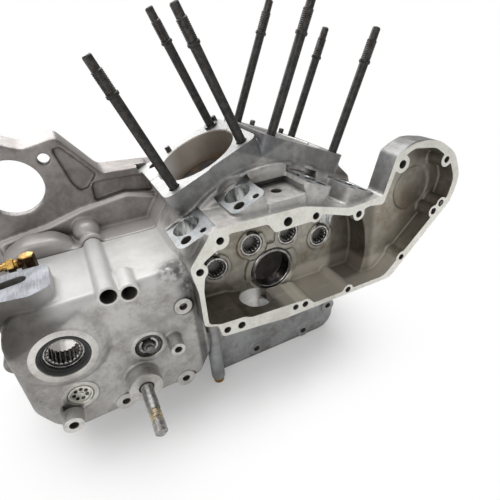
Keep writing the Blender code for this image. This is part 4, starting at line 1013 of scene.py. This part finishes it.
def mainshaft_pieces():
    """The mainshaft bearing behind its lip seal."""
    near = -92.0
    shell = turned("seal_shell", SIDE, MAINSHAFT, rounded_profile([
        (21.5, near), (21.5, near + 5.0), (19.6, near + 5.0), (19.6, near + 0.9), (20.2, near + 0.2),
    ], 0.15), 112)
    lip = turned("seal_lip", SIDE, MAINSHAFT, rounded_profile([
        (19.7, near + 0.9), (19.7, near + 4.9), (16.8, near + 4.9), (16.6, near + 3.9),
        (17.5, near + 2.6), (18.3, near + 2.9), (18.9, near + 1.2),
    ], 0.2), 112)
    dressed(joined("mainshaft_lip_seal", [shell, lip]), "mainshaft_seal", "case",
            [RUBBER, RUBBER])
    cup = turned("mainshaft_cup", SIDE, MAINSHAFT, rounded_profile([
        (18.0, near + 5.3), (18.0, near + 25.3), (16.5, near + 25.3), (16.5, near + 6.3),
        (15.4, near + 6.3), (15.4, near + 5.3),
    ]), 112)
    dressed(cup, "mainshaft_bearing", "case", [STEEL])
    cage = sleeve("cage", MAINSHAFT, 14.9, 13.8, near + 6.7, near + 24.7, 0.2, 96)
    needles = rollers("needles", MAINSHAFT, 14.25, 1.8, 22, near + 7.0, near + 24.4)
    dressed(joined("mainshaft_needles", [needles, cage]), "mainshaft_rollers",
            "mainshaft_rollers", [ROLLER, DARK_STEEL])


def countershaft_pieces():
    """The closed cup of the countershaft, with a ring of dimples in its end in dark steel, as painted
    shade.
    """
    near = -88.6
    cup = turned("countershaft_cup", SIDE, COUNTERSHAFT, [
        (9.2, near + 19.0), (10.0, near + 19.0), (11.5, near + 17.0), (11.5, near + 0.9),
        (11.0, near + 0.1), (9.6, near), (9.2, near + 0.7), (8.9, near + 2.2), (2.9, near + 2.2),
        (2.6, near + 0.7),
        (0.4, near + 0.5), (0.4, near + 3.0), (9.0, near + 3.2),
    ], 80)
    # The dimples are dark steel bumps: their dark colour is painted shade, standing for hollows.
    dimple = [(1.7, near + 1.5), (1.7, near + 2.9), (0.9, near + 2.9)]
    count = 7
    dimples = []
    for step in range(count):
        spot = around(COUNTERSHAFT, 5.9, 2.0 * math.pi * step / count + 0.4)
        dimples.append(turned("dimple", SIDE, spot, dimple, 20, False))
    dressed(joined("countershaft_cup_end", [cup] + dimples), "countershaft_bearing",
            "case", [GASKET] + [DARK_STEEL] * count)
    cage = sleeve("cage", COUNTERSHAFT, 9.6, 8.7, near + 4.4, near + 16.8, 0.2, 64)
    needles = rollers("needles", COUNTERSHAFT, 8.6, 1.0, 18, near + 4.6, near + 16.6)
    dressed(joined("countershaft_needles", [needles, cage]), "countershaft_rollers",
            "countershaft_rollers", [ROLLER, DARK_STEEL])


def shift_pieces():
    """The shift shaft in its bushing, held by a spring ring with a gap."""
    near = -88.0
    bush = turned("shift_bush", SIDE, SHIFT, rounded_profile([
        (13.0, near + 1.0), (13.0, near + 20.0), (6.1, near + 20.0), (6.1, near + 3.2),
        (9.2, near + 3.2), (9.8, near + 1.0),
    ]), 80)
    section = [(9.4, near + 1.7), (9.4, near + 2.9), (7.3, near + 2.9), (7.3, near + 1.7)]
    steps = 40
    data = bmesh.new()
    rows = []
    for step in range(steps + 1):
        angle = math.radians(125.0 + 300.0 * step / steps)
        rows.append([data.verts.new(SIDE.point(*around(SHIFT, radius, angle), depth))
                     for radius, depth in section])
    skin(data, rows)
    ring = new_solid("ring", data)
    dressed(joined("shift_bush_and_ring", [bush, ring]), "shift_bushing", "case",
            [DARK_STEEL, STEEL])
    shaft = turned("shift_rod", SIDE, SHIFT, [
        (3.4, near - 6.0), (4.2, near - 5.2), (4.2, near - 3.4), (3.6, near - 3.2), (3.6, near - 2.6),
        (5.2, near - 2.2), (5.6, near - 1.6), (5.6, near + 24.0),
    ], 48, False)
    dressed(shaft, "shift_shaft", "shift_shaft", [DULL_STEEL])


def cylinder_studs():
    """Studs with a flange, a rolled thread above it and a turned tip."""
    shank = DECK_HEIGHT + 94.0
    for name, (place, a, y) in STUDS.items():
        rod = threaded("rod", place, (a, y), [
            (4.75, DECK_HEIGHT - 18.0, 0.0), (4.75, shank - 0.8, 0.0), (5.7, shank, 0.0),
            (5.9, shank + 0.6, 0.0), (5.9, shank + 2.4, 0.0), (5.3, shank + 3.0, 0.0),
        ])
        tip = threaded("tip", place, (a, y), [
            (4.7, shank + 2.8, 0.0), (5.15, shank + 3.6, 0.55), (5.15, shank + 21.4, 0.0),
            (4.2, shank + 22.2, 0.0), (4.1, shank + 33.0, 0.0), (3.3, shank + 33.9, 0.0),
        ])
        dressed(joined(name.replace("stud", "cylinder_stud"), [rod, tip]), name, "case",
                [BLACK_OXIDE, THREAD_BLACK])


def pivot_piece():
    """The pivot stud: a plain shank, a necked band and a thread at its end."""
    near = -105.0
    stud = threaded("clutch_pivot", SIDE, PIVOT, [
        (6.3, near + 15.0, 0.0), (6.3, near - 1.2, 0.0), (5.9, near - 2.0, 0.0),
        (5.9, near - 28.0, 0.0), (5.2, near - 29.0, 0.0), (5.2, near - 31.0, 0.0),
        (5.7, near - 31.8, 0.5), (5.7, near - 38.0, 0.0), (5.1, near - 38.6, 0.0),
        (5.1, near - 39.6, 0.0), (5.75, near - 40.2, 1.0), (5.75, near - 53.6, 0.0),
        (4.4, near - 55.0, 0.0),
    ], pitch=2.1)
    dressed(stud, "pivot_stud", "case", [WORN_STUD])


def vent_pieces():
    """The elbow on the gearbox top: a six-sided head, a stem, a nut and the pipe to the rear."""
    rear = Frame(CRANK + Vector((VENT[0], VENT[1], 69.0)), Y_AXIS, Z_AXIS, -X_AXIS)
    head = loft("head", PLAN, [
        (circle(VENT, radius, 6, 0.3), depth)
        for radius, depth in ((6.6, 56.3), (7.2, 57.0), (7.2, 75.0), (6.7, 75.8), (5.6, 76.0))])
    stem = turned("stem", PLAN, VENT, [(4.5, 44.0), (4.5, 58.0)], 32, False)
    branch = turned("branch", rear, CENTRE, [
        (4.6, 2.0), (4.6, 10.4), (4.0, 10.6), (4.0, 11.2)], 32, False)
    nut = loft("nut", rear, [
        (circle(CENTRE, radius, 6), depth)
        for radius, depth in ((5.6, 11.0), (6.2, 11.5), (6.2, 17.0), (5.6, 17.5))])
    collar = turned("collar", rear, CENTRE, rounded_profile([
        (4.6, 17.2), (4.6, 20.0), (3.45, 20.0), (3.45, 17.2)]), 32)
    dressed(joined("vent_elbow", [head, stem, branch, nut, collar]), "vent_fitting", "case",
            [VENT_BRASS] * 5)
    pipe = turned("vent_tube", rear, CENTRE, rounded_profile([
        (3.2, 9.0), (3.2, 44.0), (2.3, 44.0), (2.3, 9.0)], 0.2), 40)
    dressed(pipe, "vent_pipe", "case", [VENT_BRASS])


STAYING = {
    "case_screw": DULL_STEEL, "rear_dowel": DARK_STEEL, "front_dowel": DARK_STEEL,
    "stud_washer": DARK_STEEL, "drain_plug": BRASS, "broken_screw": DARK_STEEL,
}


def staying_nodes():
    """Give every CAD node that is shown as it is its material."""
    for name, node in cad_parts.items():
        for start, finish in STAYING.items():
            if name.startswith(start):
                node.data.materials.clear()
                node.data.materials.append(finish)


def camera():
    """The photo's camera: its place and its three axes were fitted to points of the case."""
    data = bpy.data.cameras.new("camera")
    data.lens = 27.75
    data.sensor_width = 36.0
    data.clip_start = 0.02
    data.clip_end = 20.0
    eye = bpy.data.objects.new("camera", data)
    right = Vector((0.89064, -0.44995, -0.06566))
    up = Vector((0.28313, 0.43575, 0.85438))
    back = Vector((-0.35582, -0.77953, 0.51549))
    turn = Matrix((right, up, back)).transposed().to_4x4()
    eye.matrix_world = Matrix.Translation((-0.17412, -0.38587, 0.37409)) @ turn
    bpy.context.scene.collection.objects.link(eye)
    bpy.context.scene.camera = eye


def lamp(name, place, target, size, power):
    data = bpy.data.lights.new(name, "AREA")
    data.shape = "RECTANGLE"
    data.size, data.size_y = size
    data.energy = power
    made = bpy.data.objects.new(name, data)
    made.location = place
    made.rotation_mode = "QUATERNION"
    made.rotation_quaternion = (Vector(target) - Vector(place)).to_track_quat("-Z", "Y")
    bpy.context.scene.collection.objects.link(made)


WHITE = (1.0, 1.0, 1.0)


def surroundings():
    """A soft even light, with white behind the case."""
    world = bpy.data.worlds.new("studio")
    bpy.context.scene.world = world
    shader = Shader(world)
    soft, white = (shader.node("ShaderNodeBackground", None, {"Color": WHITE, "Strength": strength})
                   for strength in (0.42, 1.0))
    shader.shown("World Output", shader.seen_by_eye(), soft, white)


def paper_floor():
    """White paper that is darker where the case hides the sky from it."""
    data = bmesh.new()
    bmesh.ops.create_grid(data, x_segments=1, y_segments=1, size=6.0)
    floor = new_piece("floor", data)
    floor.location.z = -0.0005
    paper = Finish("paper", (0.9, 0.9, 0.9), 0.0)
    paper.set("Base Color", paper.colour)
    paper.set("Roughness", 0.9)
    paper.set("Specular IOR Level", 0.1)
    sky = paper.node("ShaderNodeAmbientOcclusion", {"samples": 16}, {"Distance": 0.13}, "AO")
    glow = paper.node("ShaderNodeEmission", None, {"Strength": 1.0})
    share = paper.seen_by_eye() * sky.between(0.40, 0.98, 0.25)
    paper.shown("Material Output", share, Socket(paper, paper.surface.outputs[0]), glow)
    floor.data.materials.append(paper.material)


def lamps():
    middle = (-0.05, 0.0, 0.12)
    lamp("overhead", (-0.1, 0.55, 1.5), middle, (1.6, 1.2), 24.0)
    lamp("back", (-0.5, 1.6, 0.9), middle, (1.4, 0.9), 14.0)
    lamp("front_fill", (-0.9, -1.3, 0.9), middle, (0.9, 0.9), 5.0)


def main():
    castings()
    cam_bearings()
    main_bearings()
    mainshaft_pieces()
    countershaft_pieces()
    shift_pieces()
    cylinder_studs()
    pivot_piece()
    vent_pieces()
    staying_nodes()
    camera()
    surroundings()
    paper_floor()
    lamps()
    bpy.context.scene.view_settings.view_transform = "Standard"


main()
